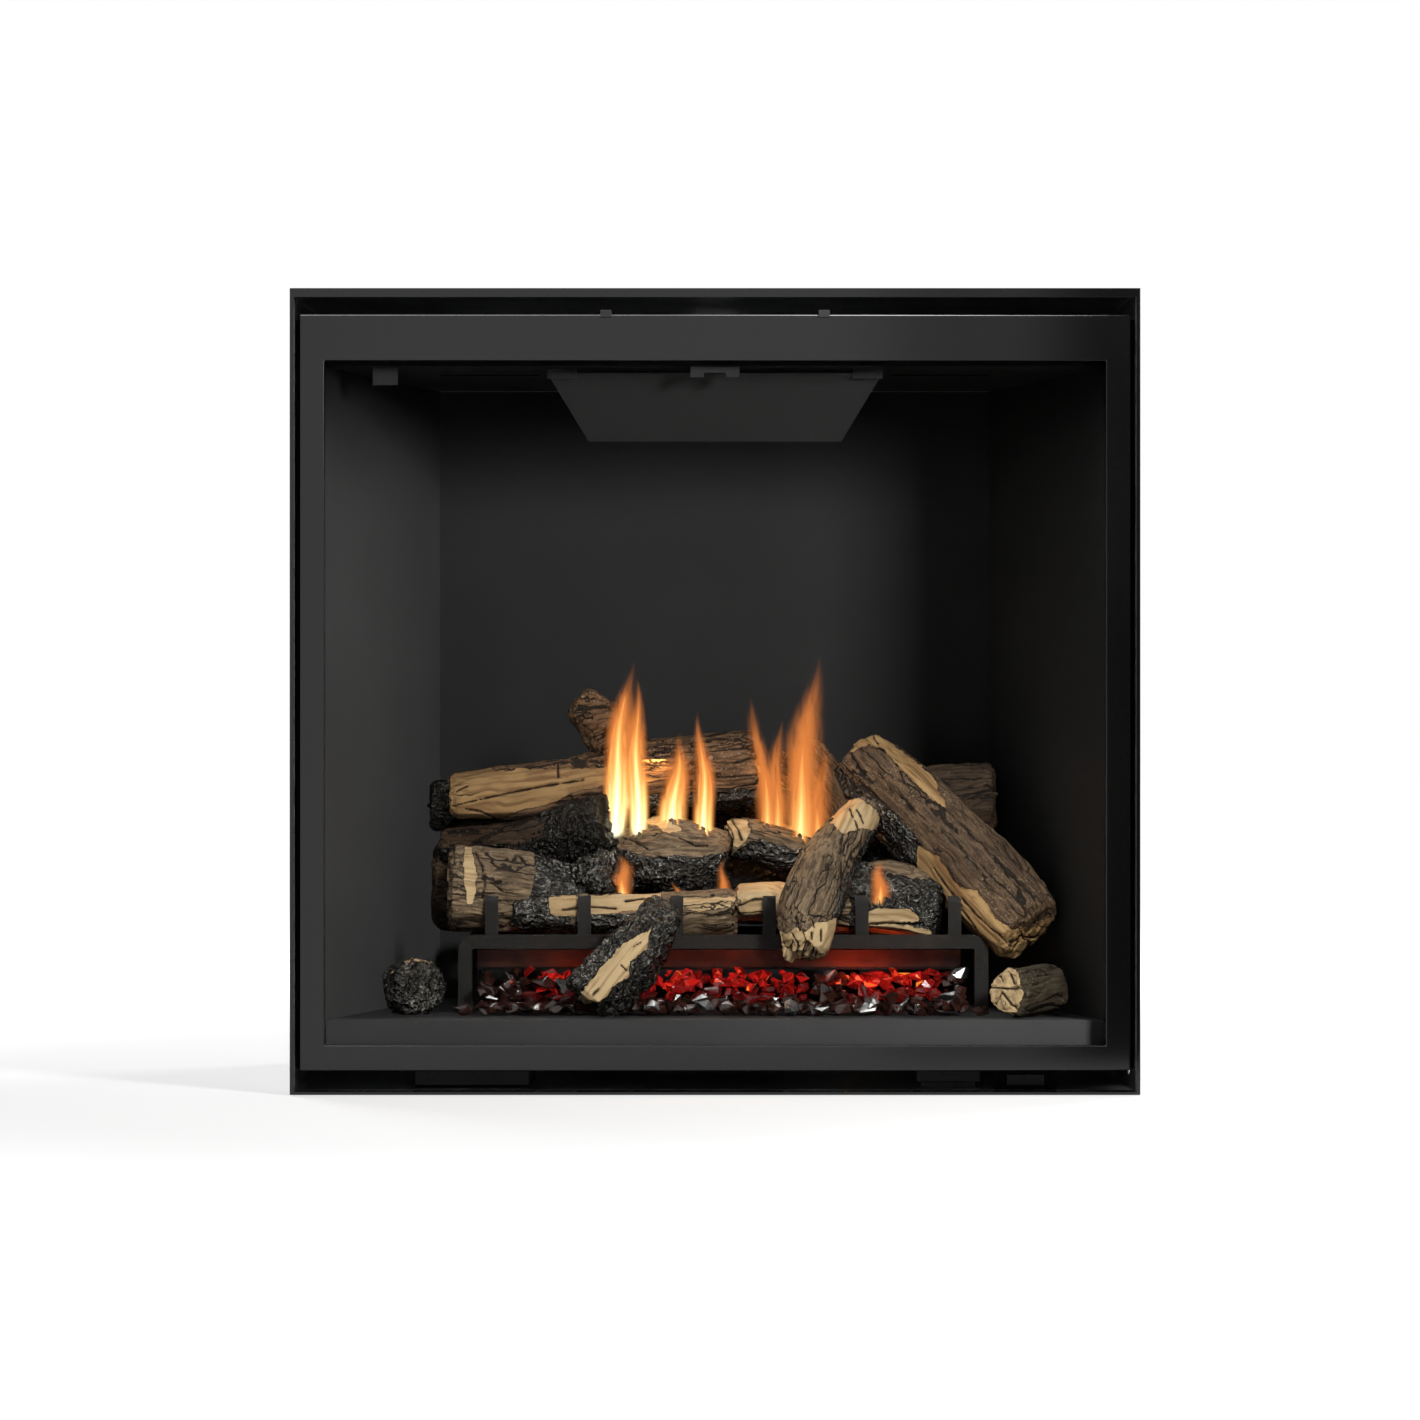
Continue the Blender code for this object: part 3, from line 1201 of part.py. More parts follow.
# Blower


def make_blower():
    centre_z = SHEET + GAP + HOUSING_SHEET + HOUSING_CLEARANCE + DRUM_RADIUS
    centre = (BLOWER_SETBACK, centre_z)
    half = BLOWER_LENGTH / 2
    scroll = DRUM_RADIUS + HOUSING_CLEARANCE
    inner = arc(centre, scroll, HOUSING_START_TURN, HOUSING_END_TURN, HOUSING_STEPS)
    outer = arc(centre, scroll + HOUSING_SHEET, HOUSING_START_TURN, HOUSING_END_TURN, HOUSING_STEPS)
    outline = inner + list(reversed(outer))
    start = BLOWER_OFFSET - half - HOUSING_END_SHEET
    end = BLOWER_OFFSET + half + HOUSING_END_SHEET
    housing = make("blower_housing", extrusion(outline, start, end, along_x), CASING_STEEL)
    plate = circle(scroll + HOUSING_SHEET, HOUSING_STEPS * 2, centre)
    bore = circle(SHAFT_RADIUS + GAP, ROUND_SIDES, centre)
    for edge in (start, end - HOUSING_END_SHEET):
        join(housing, extrusion(plate, edge, edge + HOUSING_END_SHEET, along_x))
        ends = (edge - OVERRUN, edge + HOUSING_END_SHEET + OVERRUN)
        cut(housing, extrusion(bore, *ends, along_x))
    foot_depth = scroll / 2
    foot_low = (start, deep(BLOWER_SETBACK - foot_depth), SHEET + GAP)
    foot_high = (end, deep(BLOWER_SETBACK + foot_depth), SHEET + GAP + HOUSING_SHEET / 2)
    join(housing, block(foot_low, foot_high))
    motor_ring = circle(MOTOR_RADIUS, FLUE_SIDES // 2, centre)
    motor_end = start + HOUSING_END_SHEET / 2
    motor = extrusion(motor_ring, start - MOTOR_LENGTH, motor_end, along_x)
    socket = extrusion(bore, start - SHAFT_END, start + HOUSING_END_SHEET + OVERRUN, along_x)
    join(housing, motor)
    cut(housing, socket)
    round_off(housing)

    foot = DRUM_RADIUS - DRUM_VANE_DEPTH
    tip_shares = ((0, DRUM_RADIUS), (0.3, DRUM_RADIUS), (0.5, foot))
    vanes = []
    for i in range(DRUM_VANES):
        for share, radius in tip_shares:
            angle = math.tau * (i + share) / DRUM_VANES
            vanes.append((centre[0] + radius * math.cos(angle), centre[1] + radius * math.sin(angle)))
    run = half - SHEET
    drum = make(
        "blower_impeller", extrusion(vanes, BLOWER_OFFSET - run, BLOWER_OFFSET + run, along_x), ALUMINIUM
    )
    shaft = circle(SHAFT_RADIUS, ROUND_SIDES, centre)
    join(drum, extrusion(shaft, start, end + SHAFT_END, along_x))
    pivot_at(drum, (BLOWER_OFFSET, deep(centre[0]), centre[1]))


# Log set. Each station is (across, back, up, thickness): across is a share of the room from the
# firebox's middle to where a full log would touch the wall, back a share of the grate's depth from
# its front, up a share of the set's height above the grate's bars or, where it is negative, of the
# grate's own height, and thickness a share of the log radius. Split gives the turn that the flat
# split face looks to, and how far out it lies as a share of the radius.


class Log:
    def __init__(self, name, stations_shares, split_shares=None, knot_shares=None, char=False):
        self.name = name
        self.stations_shares = stations_shares
        self.split_shares = split_shares
        self.knot_shares = knot_shares
        self.char = char
        self.phase = len(name) + sum(ord(letter) for letter in name) % 7

    def place(self, station_shares):
        across, back, up, thickness = station_shares
        depth = GRATE_SETBACK + GRATE_DEPTH * back
        x = (wall_half(depth) - LOG_RADIUS) * across
        rise = (LOG_SET_HEIGHT if up > 0 else GRATE_HEIGHT) * up
        return Vector((x, deep(depth), GRATE_TOP + rise)), LOG_RADIUS * thickness

    def shapes(self, grow=0):
        """The log and its knot, swollen by grow when they cut their neighbour's seat."""
        found = [self.loft(self.stations_shares, self.split_shares, LOG_RINGS, grow)]
        if self.knot_shares:
            found.append(self.loft(self.knot_shares, None, KNOT_RINGS, grow))
        return found

    def loft(self, stations_shares, split_shares, count, grow):
        stations = [self.place(shares) for shares in stations_shares]
        rings = [self.ring(stations, i / count, split_shares, grow) for i in range(count + 1)]
        first, last = self.cap(rings[0], rings[1], grow), self.cap(rings[-1], rings[-2], grow)
        shape = bmesh.new()
        add_faces(shape, [first] + rings + [last])
        bmesh.ops.triangulate(shape, faces=shape.faces, quad_method="FIXED")
        return shape

    def cap(self, ring, neighbour, grow):
        """A smaller end ring that rounds the end of the log."""
        middle = sum(ring, Vector()) / len(ring)
        out = (middle - sum(neighbour, Vector()) / len(neighbour)).normalized()
        inner_share = 0.82
        reach = LOG_END_ROUND + grow
        return [middle + (point - middle) * inner_share + out * reach for point in ring]

    def ring(self, stations, share, split_shares, grow):
        along = share * (len(stations) - 1)
        index = min(int(along), len(stations) - 2)
        t = along - index
        before, start, end, after = (
            stations[min(max(k, 0), len(stations) - 1)] for k in range(index - 1, index + 3)
        )
        centre = curve_point(before[0], start[0], end[0], after[0], t)
        ahead = curve_point(before[0], start[0], end[0], after[0], t + OVERRUN)
        radius = start[1] + (end[1] - start[1]) * t
        direction = (ahead - centre).normalized()
        side = direction.cross(Vector((0, 0, 1)))
        side = side.normalized() if side.length > OVERRUN else Vector((1, 0, 0))
        top = side.cross(direction).normalized()
        points = []
        for k in range(LOG_SIDES):
            angle = math.tau * k / LOG_SIDES
            lump = LOG_LUMP_SHARE * math.sin(3 * angle + 2 * share * math.pi + self.phase)
            ridge = LOG_RIDGE_SHARE * math.sin(5 * angle - 3 * share * math.pi + 2 * self.phase)
            reach = radius * (1 + lump + ridge) + grow
            offset = side * reach * math.cos(angle) + top * reach * math.sin(angle)
            if split_shares:
                turn, depth_share = split_shares
                normal = side * math.cos(math.tau * turn) + top * math.sin(math.tau * turn)
                excess = offset.dot(normal) - (radius * depth_share + grow)
                offset -= normal * max(excess, 0)
            points.append(centre + offset)
        return points


def curve_point(before, start, end, after, t):
    """A point of the smooth curve from start to end that also heeds the points round them."""
    half_share = 0.5
    a = (end - before) * half_share
    b = (after - start) * half_share
    rise = 3 * t**2 - 2 * t**3
    return (
        start * (1 - rise) + end * rise + a * (t**3 - 2 * t**2 + t) + b * (t**3 - t**2)
    )


LOGS = (
    Log(
        "rear_base_log",
        (
            (-1.086, 0.88, 0.195, 1.05),
            (-0.269, 0.86, 0.19, 0.97),
            (0.535, 0.88, 0.19, 0.97),
            (1.042, 0.90, 0.20, 0.95),
        ),
    ),
    Log(
        "rear_log",
        (
            (-1.117, 0.93, 0.56, 0.60),
            (-0.172, 0.95, 0.54, 0.66),
            (0.641, 0.92, 0.57, 0.78),
            (1.093, 0.90, 0.59, 0.80),
        ),
    ),
    Log(
        "charred_block",
        (
            (-0.506, 0.42, 0.10, 0.55),
            (-0.416, 0.32, 0.22, 0.66),
            (-0.347, 0.24, 0.27, 0.62),
        ),
        char=True,
    ),
    Log(
        "front_left_log",
        (
            (-0.902, 0.30, 0.19, 0.98),
            (-0.651, 0.32, 0.18, 0.93),
            (-0.428, 0.36, 0.13, 0.70),
        ),
        split_shares=(0.62, 0.80),
    ),
    Log(
        "front_split_log",
        (
            (-0.661, 0.17, 0.10, 0.42),
            (-0.282, 0.18, 0.09, 0.52),
            (0.054, 0.18, 0.10, 0.60),
        ),
        split_shares=(0.30, 0.80),
    ),
    Log(
        "split_block",
        (
            (0.09, 0.20, 0.13, 0.46),
            (0.161, 0.22, 0.14, 0.52),
            (0.244, 0.27, 0.13, 0.48),
        ),
        split_shares=(0.80, 0.75),
    ),
    Log(
        "front_right_log",
        (
            (0.405, 0.27, 0.15, 0.70),
            (0.583, 0.25, 0.16, 0.84),
            (0.749, 0.22, 0.11, 0.72),
        ),
        split_shares=(0.78, 0.70),
    ),
    Log(
        "centre_left_log",
        (
            (-0.333, 0.46, 0.30, 0.62),
            (-0.156, 0.43, 0.34, 0.94),
            (0.029, 0.40, 0.30, 0.78),
        ),
        char=True,
    ),
    Log(
        "charred_end_log",
        (
            (-1, 0.70, 0.37, 0.50),
            (-0.68, 0.56, 0.40, 0.58),
            (-0.373, 0.36, 0.49, 0.76),
        ),
        char=True,
    ),
    Log(
        "centre_right_log",
        (
            (0.048, 0.46, 0.43, 0.42),
            (0.215, 0.47, 0.38, 0.56),
            (0.432, 0.50, 0.28, 0.50),
        ),
    ),
    Log(
        "split_log",
        (
            (-0.945, 0.56, 0.59, 0.58),
            (-0.56, 0.59, 0.62, 0.72),
            (-0.257, 0.62, 0.66, 0.96),
            (0.145, 0.64, 0.70, 0.92),
        ),
        split_shares=(0.72, 0.62),
        knot_shares=(
            (-0.353, 0.62, 0.84, 0.62),
            (-0.419, 0.61, 0.94, 0.46),
            (-0.485, 0.60, 1.01, 0.36),
        ),
    ),
    Log(
        "steep_back_log",
        (
            (0.535, 0.69, 0.36, 0.74),
            (0.402, 0.73, 0.60, 0.80),
            (0.305, 0.74, 0.80, 0.62),
        ),
    ),
    Log(
        "big_right_log",
        (
            (0.547, 0.71, 0.76, 0.78),
            (0.722, 0.50, 0.55, 0.96),
            (0.9, 0.22, 0.26, 1.04),
            (1.013, 0.03, 0.055, 0.86),
        ),
        split_shares=(0.60, 0.80),
    ),
    Log(
        "crossing_log",
        (
            (0.521, 0.36, 0.54, 0.46),
            (0.398, 0.17, 0.36, 0.62),
            (0.307, -0.06, 0.15, 0.74),
            (0.286, -0.14, -0.174, 0.56),
        ),
    ),
    Log(
        "leaning_log",
        (
            (-0.395, -0.23, -0.782, 0.60),
            (-0.265, -0.18, -0.203, 0.62),
            (-0.168, -0.08, 0.12, 0.40),
        ),
        split_shares=(0.86, 0.70),
        char=True,
    ),
    Log(
        "left_chunk",
        (
            (-1.005, 0.02, -0.681, 0.56),
            (-0.935, -0.10, -0.652, 0.62),
        ),
        char=True,
    ),
    Log(
        "right_chunk",
        (
            (0.879, -0.38, -0.681, 0.54),
            (1.051, -0.12, -0.666, 0.56),
        ),
    ),
)


def make_logs():
    """Each log is notched where it lies on the grate, the floor and the logs made before it."""
    made = []
    for log in LOGS:
        body, *knots = log.shapes()
        piece = make(log.name, body, LOG_CHAR if log.char else LOG_BARK)
        join(piece, *knots)
        for shape in grate_shapes(LOG_SEAT):
            cut_if_near(piece, shape())
        low = (-HALF_FACE, deep(0), 0)
        high = (HALF_FACE, deep(CASING_DEPTH), FLOOR_HEIGHT + GAP)
        cut_if_near(piece, block(low, high))
        for other in made:
            for shape in other.shapes(LOG_SEAT):
                cut_if_near(piece, shape)
        round_off(piece)
        made.append(log)


def cut_if_near(piece, shape):
    """Cuts a seat only where the cutter's box reaches the piece's box."""
    low, high = bounds([vert.co for vert in shape.verts])
    piece_low, piece_high = bounds([vert.co for vert in piece.data.vertices])
    if all(low[i] < piece_high[i] and high[i] > piece_low[i] for i in range(3)):
        cut(piece, shape)
    else:
        shape.free()


def bounds(points):
    low = [min(point[i] for point in points) for i in range(3)]
    high = [max(point[i] for point in points) for i in range(3)]
    return low, high


make_casing()
make_surround()
make_glass_front()
make_bulkhead()
make_latches()
make_firebox()
make_relief_flaps()
make_exhaust()
make_restrictor()
make_baffle()
make_grate()
make_burner()
make_air_shutter()
make_pilot()
make_embers()
make_gas_train()
make_electrics()
make_blower()
make_logs()
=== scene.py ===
"""The looks of a direct-vent gas fireplace: the finish of every sheet and casting, the cast logs, the glass
embers and the flames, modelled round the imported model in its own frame, in metres."""

import math
import random
from dataclasses import dataclass

import bmesh
import bpy
import numpy as np
from mathutils import Matrix, Vector, noise


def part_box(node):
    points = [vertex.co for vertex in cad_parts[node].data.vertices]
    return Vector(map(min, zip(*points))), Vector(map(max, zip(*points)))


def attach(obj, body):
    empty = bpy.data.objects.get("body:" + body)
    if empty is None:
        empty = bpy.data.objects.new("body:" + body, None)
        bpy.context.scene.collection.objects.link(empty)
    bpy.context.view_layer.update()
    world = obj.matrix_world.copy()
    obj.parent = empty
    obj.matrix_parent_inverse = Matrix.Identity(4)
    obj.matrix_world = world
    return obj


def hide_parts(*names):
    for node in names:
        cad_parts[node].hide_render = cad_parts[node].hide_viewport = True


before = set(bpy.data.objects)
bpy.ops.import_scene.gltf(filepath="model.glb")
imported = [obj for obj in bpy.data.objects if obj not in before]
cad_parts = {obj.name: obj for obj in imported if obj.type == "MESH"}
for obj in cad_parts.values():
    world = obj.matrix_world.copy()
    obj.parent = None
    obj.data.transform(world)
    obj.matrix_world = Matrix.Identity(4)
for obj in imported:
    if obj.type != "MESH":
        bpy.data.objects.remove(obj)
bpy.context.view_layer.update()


# Outer casing
# The box round the firebox is folded from zinc-coated steel sheet and held by pan-head sheet screws.
# The zinc has frozen into flat crystals, and handling has left it dull in places.

ZINC = (0.42, 0.43, 0.44, 1)
SPANGLE = 95.0
SCREW_RADIUS = 0.0036
SCREW_RISE = 0.0014
SCREW_SPACING = 0.095
SCREW_INSET = 0.012
RECESS_SHARE = 0.42


def fed(tree, sockets, values):
    """Gives each named socket a plain value or another node's output."""
    for name, value in values.items():
        if isinstance(value, bpy.types.NodeSocket):
            tree.links.new(value, sockets[name])
        else:
            sockets[name].default_value = value


def add(tree, kind, inputs=None, **settings):
    """Adds a shader node."""
    made = tree.nodes.new("ShaderNode" + kind)
    for name, value in settings.items():
        setattr(made, name, value)
    fed(tree, made.inputs, inputs or {})
    return made


def calc(tree, operation, *values):
    return add(tree, "Math", dict(enumerate(values)), operation=operation).outputs[0]


def times(tree, first, second):
    return calc(tree, "MULTIPLY", first, second)


def mixed(tree, share, first, second, blend_type="MIX"):
    """The colour between two colours, at this share of the way to the second."""
    inputs = {0: share, 6: first, 7: second}
    return add(tree, "Mix", inputs, data_type="RGBA", blend_type=blend_type).outputs[2]


def stepped(tree, value, start, end, low=0.0, high=1.0):
    """A smooth step from low to high as the value goes from start to end."""
    inputs = {"Value": value, "From Min": start, "From Max": end, "To Min": low, "To Max": high}
    return add(tree, "MapRange", inputs, interpolation_type="SMOOTHSTEP").outputs[0]


def shaded(tree, colour, level):
    """The colour, made brighter or darker by this level."""
    grey = add(tree, "CombineColor", dict.fromkeys(range(3), level)).outputs[0]
    return mixed(tree, 1.0, colour, grey, "MULTIPLY")


def own_place(tree):
    return add(tree, "TexCoord").outputs["Object"]


def own_height(tree):
    return add(tree, "SeparateXYZ", {0: own_place(tree)}).outputs["Z"]


def mottle(tree, scale, detail, where=None):
    """Noise round 0.5, on the object's own coordinates unless others are given."""
    inputs = {"Vector": where or own_place(tree), "Scale": scale, "Detail": detail}
    return add(tree, "TexNoise", inputs).outputs["Fac"]


def effect(name, **inputs):
    """An empty effect with these inputs, and the three outputs that every finish here puts out."""
    tree = bpy.data.node_groups.new(name, "ShaderNodeTree")
    for label, value in inputs.items():
        kind = "NodeSocketColor" if isinstance(value, tuple) else "NodeSocketFloat"
        tree.interface.new_socket(label, in_out="INPUT", socket_type=kind).default_value = value
    for label, kind in (("Color", "Color"), ("Roughness", "Float"), ("Height", "Float")):
        tree.interface.new_socket(label, in_out="OUTPUT", socket_type="NodeSocket" + kind)
    return tree, tree.nodes.new("NodeGroupInput").outputs, tree.nodes.new("NodeGroupOutput").inputs


def put_out(tree, ends, colour, roughness, height):
    fed(tree, ends, {"Color": colour, "Roughness": roughness, "Height": height})


def shader(name):
    """A new material, its node tree and its surface's sockets."""
    made = bpy.data.materials.new(name)
    made.use_nodes = True
    return made, made.node_tree, made.node_tree.nodes["Principled BSDF"].inputs


def material(name, pattern, values, plain, bump=0.0002):
    """A material whose colour, roughness and bumps come from an effect. The plain values are its own."""
    made, tree, surface = shader(name)
    finish_node = tree.nodes.new("ShaderNodeGroup")
    finish_node.node_tree = pattern
    fed(tree, finish_node.inputs, values)
    out = finish_node.outputs
    bumps = add(tree, "Bump", {"Height": out["Height"], "Distance": bump}).outputs["Normal"]
    fed(tree, surface, {"Base Color": out["Color"], "Roughness": out["Roughness"], "Normal": bumps, **plain})
    return made


def zinc_effect():
    """Flat zinc crystals of unequal brightness, with dull patches and faint rolling marks."""
    tree, given, ends = effect("zinc_coating", colour=ZINC, spangle=SPANGLE, roughness=0.35)
    crystals = add(tree, "TexVoronoi", {"Vector": own_place(tree), "Scale": given["spangle"]})
    tone = add(tree, "SeparateColor", {"Color": crystals.outputs["Color"]}).outputs[0]
    patches = mottle(tree, 6.0, 5.0)
    dull = stepped(tree, patches, 0.35, 0.75, 1.0, 0.78)
    level = times(tree, stepped(tree, tone, 0.0, 1.0, 0.82, 1.12), dull)
    rough = calc(tree, "ADD", given["roughness"], stepped(tree, tone, 0.0, 1.0, -0.07, 0.08))
    rough = calc(tree, "ADD", rough, stepped(tree, patches, 0.4, 0.8, 0.0, 0.14))
    marks = times(tree, mottle(tree, 420.0, 2.0), 0.4)
    put_out(tree, ends, shaded(tree, given["colour"], level), rough, marks)
    return tree


def finish(made, *names):
    """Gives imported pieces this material."""
    for name in names:
        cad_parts[name].data.materials[0] = made


def started(name, make, **settings):
    """Adds one primitive with nothing else selected, and names it."""
    bpy.ops.object.select_all(action="DESELECT")
    make(**settings)
    bpy.context.object.name = name
    return bpy.context.object


def picked(obj):
    """Selects this object alone."""
    bpy.ops.object.select_all(action="DESELECT")
    bpy.context.view_layer.objects.active = obj
    obj.select_set(True)


def edited(obj, chosen, *steps):
    """Selects the faces that are chosen and runs these edit-mode steps on them."""
    picked(obj)
    bpy.ops.object.mode_set(mode="EDIT")
    bpy.ops.mesh.select_all(action="DESELECT")
    bpy.ops.mesh.select_mode(type="FACE")
    bpy.ops.object.mode_set(mode="OBJECT")
    for face in obj.data.polygons:
        face.select = chosen(face)
    bpy.ops.object.mode_set(mode="EDIT")
    for step, settings in steps:
        step(**settings)
    bpy.ops.object.mode_set(mode="OBJECT")


def modified(obj, kind, **settings):
    """Adds a modifier and applies it."""
    picked(obj)
    modifier = obj.modifiers.new(kind.title(), kind)
    for label, value in settings.items():
        setattr(modifier, label, value)
    bpy.ops.object.modifier_apply(modifier=modifier.name)


def smoothed(obj, angle=35):
    picked(obj)
    bpy.ops.object.shade_smooth_by_angle(angle=math.radians(angle))


def settled(obj):
    """Puts the object's place into its mesh, so that the object itself sits at the origin."""
    obj.data.transform(obj.matrix_basis)
    obj.matrix_basis = Matrix.Identity(4)


def placed(name, data):
    """A new object of the scene that holds this mesh, lamp or camera."""
    obj = bpy.data.objects.new(name, data)
    bpy.context.scene.collection.objects.link(obj)
    return obj


def repeated(name, patterns, places):
    """One object that holds a copy of a pattern at each place. The patterns take turns."""
    shape = bmesh.new()
    for count, place in enumerate(places):
        one = patterns[count % len(patterns)].copy()
        one.transform(place)
        shape.from_mesh(one)
        bpy.data.meshes.remove(one)
    mesh = bpy.data.meshes.new(name)
    shape.to_mesh(mesh)
    shape.free()
    return placed(name, mesh)


def fitted(obj, made, body, slot, *replaced):
    """Gives a new piece its material and its body, and hides the nodes it stands for. Its slot is not used.
    """
    settled(obj)
    obj.data.materials.clear()
    obj.data.materials.append(made)
    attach(obj, body)
    if replaced:
        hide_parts(*replaced)
    return obj


def screw_pattern():
    """A pan-head screw that stands on the origin, with a square driver recess."""
    head = started(
        "screw_pattern", bpy.ops.mesh.primitive_cylinder_add,
        vertices=16, radius=SCREW_RADIUS, depth=SCREW_RISE, location=(0, 0, SCREW_RISE / 2),
    )
    settled(head)
    edited(
        head, lambda face: face.normal.z > 0.9,
        (bpy.ops.mesh.inset, {"thickness": SCREW_RADIUS * 0.35}),
        (bpy.ops.mesh.inset, {"thickness": SCREW_RADIUS * 0.25, "depth": -SCREW_RISE * RECESS_SHARE}),
    )
    modified(head, "BEVEL", width=SCREW_RISE * 0.35, segments=2, limit_method="ANGLE")
    smoothed(head)
    return head


def run(start, end, spacing):
    """Evenly spaced points from start to end, no further apart than the spacing."""
    start, end = Vector(start), Vector(end)
    count = math.ceil((end - start).length / spacing)
    return [start.lerp(end, k / count) for k in range(count + 1)]


def facing(point, normal):
    """The place that stands a piece on a point with its top towards the normal."""
    turn = Vector(normal).to_track_quat("Z", "Y").to_matrix().to_4x4()
    return Matrix.Translation(point) @ turn


zinc = material("zinc_coated_sheet", zinc_effect(), {"colour": ZINC}, {"Metallic": 0.85}, 0.0001)
finish(zinc, "casing_left", "casing_right", "casing_top", "casing_back", "base_pan")
screw = screw_pattern()
low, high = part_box("casing_left")
left, right = low.x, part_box("casing_right")[1].x
front, rear = low.y + 3 * SCREW_INSET, high.y - SCREW_INSET
base, top = low.z + SCREW_INSET, high.z - SCREW_INSET
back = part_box("casing_back")[1].y
places = []
for x, normal in ((left, (-1, 0, 0)), (right, (1, 0, 0))):
    for y in (front, rear):
        places += [facing(p, normal) for p in run((x, y, base), (x, y, top), SCREW_SPACING)]
for z in (base, top):
    span = run((left + SCREW_INSET, back, z), (right - SCREW_INSET, back, z), SCREW_SPACING)
    places += [facing(p, (0, 1, 0)) for p in span]
for y in (front, rear):
    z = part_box("casing_top")[1].z
    span = run((left + SCREW_INSET, y, z), (right - SCREW_INSET, y, z), SCREW_SPACING)
    places += [facing(p, (0, 0, 1)) for p in span]
fitted(repeated("casing_screws", [screw.data], places), zinc, "firebox", "casing_steel")


# Flue, exhaust box and relief flaps
# The coaxial collars are rolled from the same zinc-coated sheet and screwed to the casing through a flange.
# The exhaust box and the draught plate behind the collars are plainer and never seen in use.

ROUND_ANGLE = 40
FLANGE_SCREWS = 8
FLANGE_INSET = 0.005


def copied(node, name, merge=0.00001):
    """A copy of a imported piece's shape, its loose triangles merged and its flat faces made whole."""
    obj = placed(name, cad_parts[node].data.copy())
    shape = bmesh.new()
    shape.from_mesh(obj.data)
    bmesh.ops.remove_doubles(shape, verts=shape.verts, dist=merge)
    bmesh.ops.dissolve_limit(
        shape, angle_limit=math.radians(0.5), verts=shape.verts, edges=shape.edges
    )
    shape.to_mesh(obj.data)
    shape.free()
    return obj


def eased(node, name, width, segments=2, angle=ROUND_ANGLE):
    """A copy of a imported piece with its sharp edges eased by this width, and its flats left flat."""
    obj = copied(node, name)
    modified(
        obj, "BEVEL", width=width, segments=segments, limit_method="ANGLE",
        angle_limit=math.radians(50), use_clamp_overlap=True,
    )
    smoothed(obj, angle)
    modified(obj, "WEIGHTED_NORMAL", weight=100, keep_sharp=True)
    return obj


for node in ("inner_flue_collar", "outer_flue_collar"):
    fitted(eased(node, node + "_rolled", 0.0004), zinc, "firebox", "casing_steel", node)
finish(zinc, "exhaust_box", "restrictor_plate")
low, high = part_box("outer_flue_collar")
centre = Vector(((low.x + high.x) / 2, back + 0.0015, (low.z + high.z) / 2))
reach = (high.x - low.x) / 2 - FLANGE_INSET
places = []
for k in range(FLANGE_SCREWS):
    angle = math.tau * (k + 0.5) / FLANGE_SCREWS
    offset = Vector((math.cos(angle), 0, math.sin(angle))) * reach
    places.append(facing(centre + offset, (0, 1, 0)))
fitted(repeated("flue_flange_screws", [screw.data], places), zinc, "firebox", "casing_steel")


# Face surround and hearth front
# The deep surround and the glass frame are folded sheet with a satin black powder coat, which melts to a
# skin with a very fine orange peel and catches a little dust.

SATIN_BLACK = (0.0035, 0.0035, 0.0035, 1)
DUST = (0.2, 0.19, 0.18, 1)
PAINTED_TOP_SHADE = (0.003, 0.003, 0.003, 1)


def powder_effect():
    """A melted powder skin: fine peel, slow changes of tone, a little dust, and painted shade high in the
    firebox.
    """
    tree, given, ends = effect(
        "powder_coat", colour=SATIN_BLACK, roughness=0.35, peel=900.0, dust=0.1, soot=0.0
    )
    slow = mottle(tree, 5.0, 4.0)
    paint = shaded(tree, given["colour"], stepped(tree, slow, 0.25, 0.75, 0.9, 1.1))
    dusty = times(tree, stepped(tree, mottle(tree, 310.0, 3.0), 0.58, 0.8), given["dust"])
    # Painted shade: darker towards the top of the firebox, standing in for the shade under the opening's top
    # edge.
    film_and_top_shade = times(tree, stepped(tree, own_height(tree), 0.62, 0.8), given["soot"])
    colour = mixed(tree, film_and_top_shade, mixed(tree, dusty, paint, DUST), PAINTED_TOP_SHADE)
    rough = times(tree, given["roughness"], stepped(tree, slow, 0.3, 0.7, 0.93, 1.08))
    put_out(tree, ends, colour, rough, mottle(tree, given["peel"], 2.0))
    return tree


powder_coat = powder_effect()
face_paint = material(
    "satin_black_powder_coat", powder_coat, {"colour": SATIN_BLACK, "roughness": 0.12, "dust": 0.02},
    {"Specular IOR Level": 0.45}, 0.00002,
)
surround = eased("surround_frame", "face_surround", 0.0006)
fitted(surround, face_paint, "firebox", "satin_black", "surround_frame")
rails = eased("glass_frame", "glass_frame_folded", 0.0006)
fitted(rails, face_paint, "glass_front", "satin_black", "glass_frame")


# Glass front
# A ceramic pane sits on a woven glass-fibre gasket in the folded frame, behind a zinc-coated retainer.
# Two sprung steel latches hook over the frame's top edge.

GLASS_TINT = (0.96, 0.97, 0.96, 1)
PANE_IOR = 1.03
FIBRE = (0.5, 0.48, 0.44, 1)


def pane_material():
    """Clear glass that lets the lamps' light through to the logs without bending it."""
    made, tree, surface = shader("ceramic_pane")
    film_and_top_shade = stepped(tree, mottle(tree, 9.0, 6.0), 0.45, 0.8, 0.0, 0.012)
    fed(tree, surface, {
        "Base Color": GLASS_TINT, "Transmission Weight": 1.0, "IOR": PANE_IOR, "Roughness": film_and_top_shade,
    })
    path = add(tree, "LightPath").outputs
    passing = calc(tree, "MAXIMUM", path["Is Shadow Ray"], path["Is Diffuse Ray"])
    glass, clear = tree.nodes["Principled BSDF"].outputs[0], add(tree, "BsdfTransparent").outputs[0]
    both = add(tree, "MixShader", {0: passing, 1: glass, 2: clear}).outputs[0]
    fed(tree, tree.nodes["Material Output"].inputs, {"Surface": both})
    return made


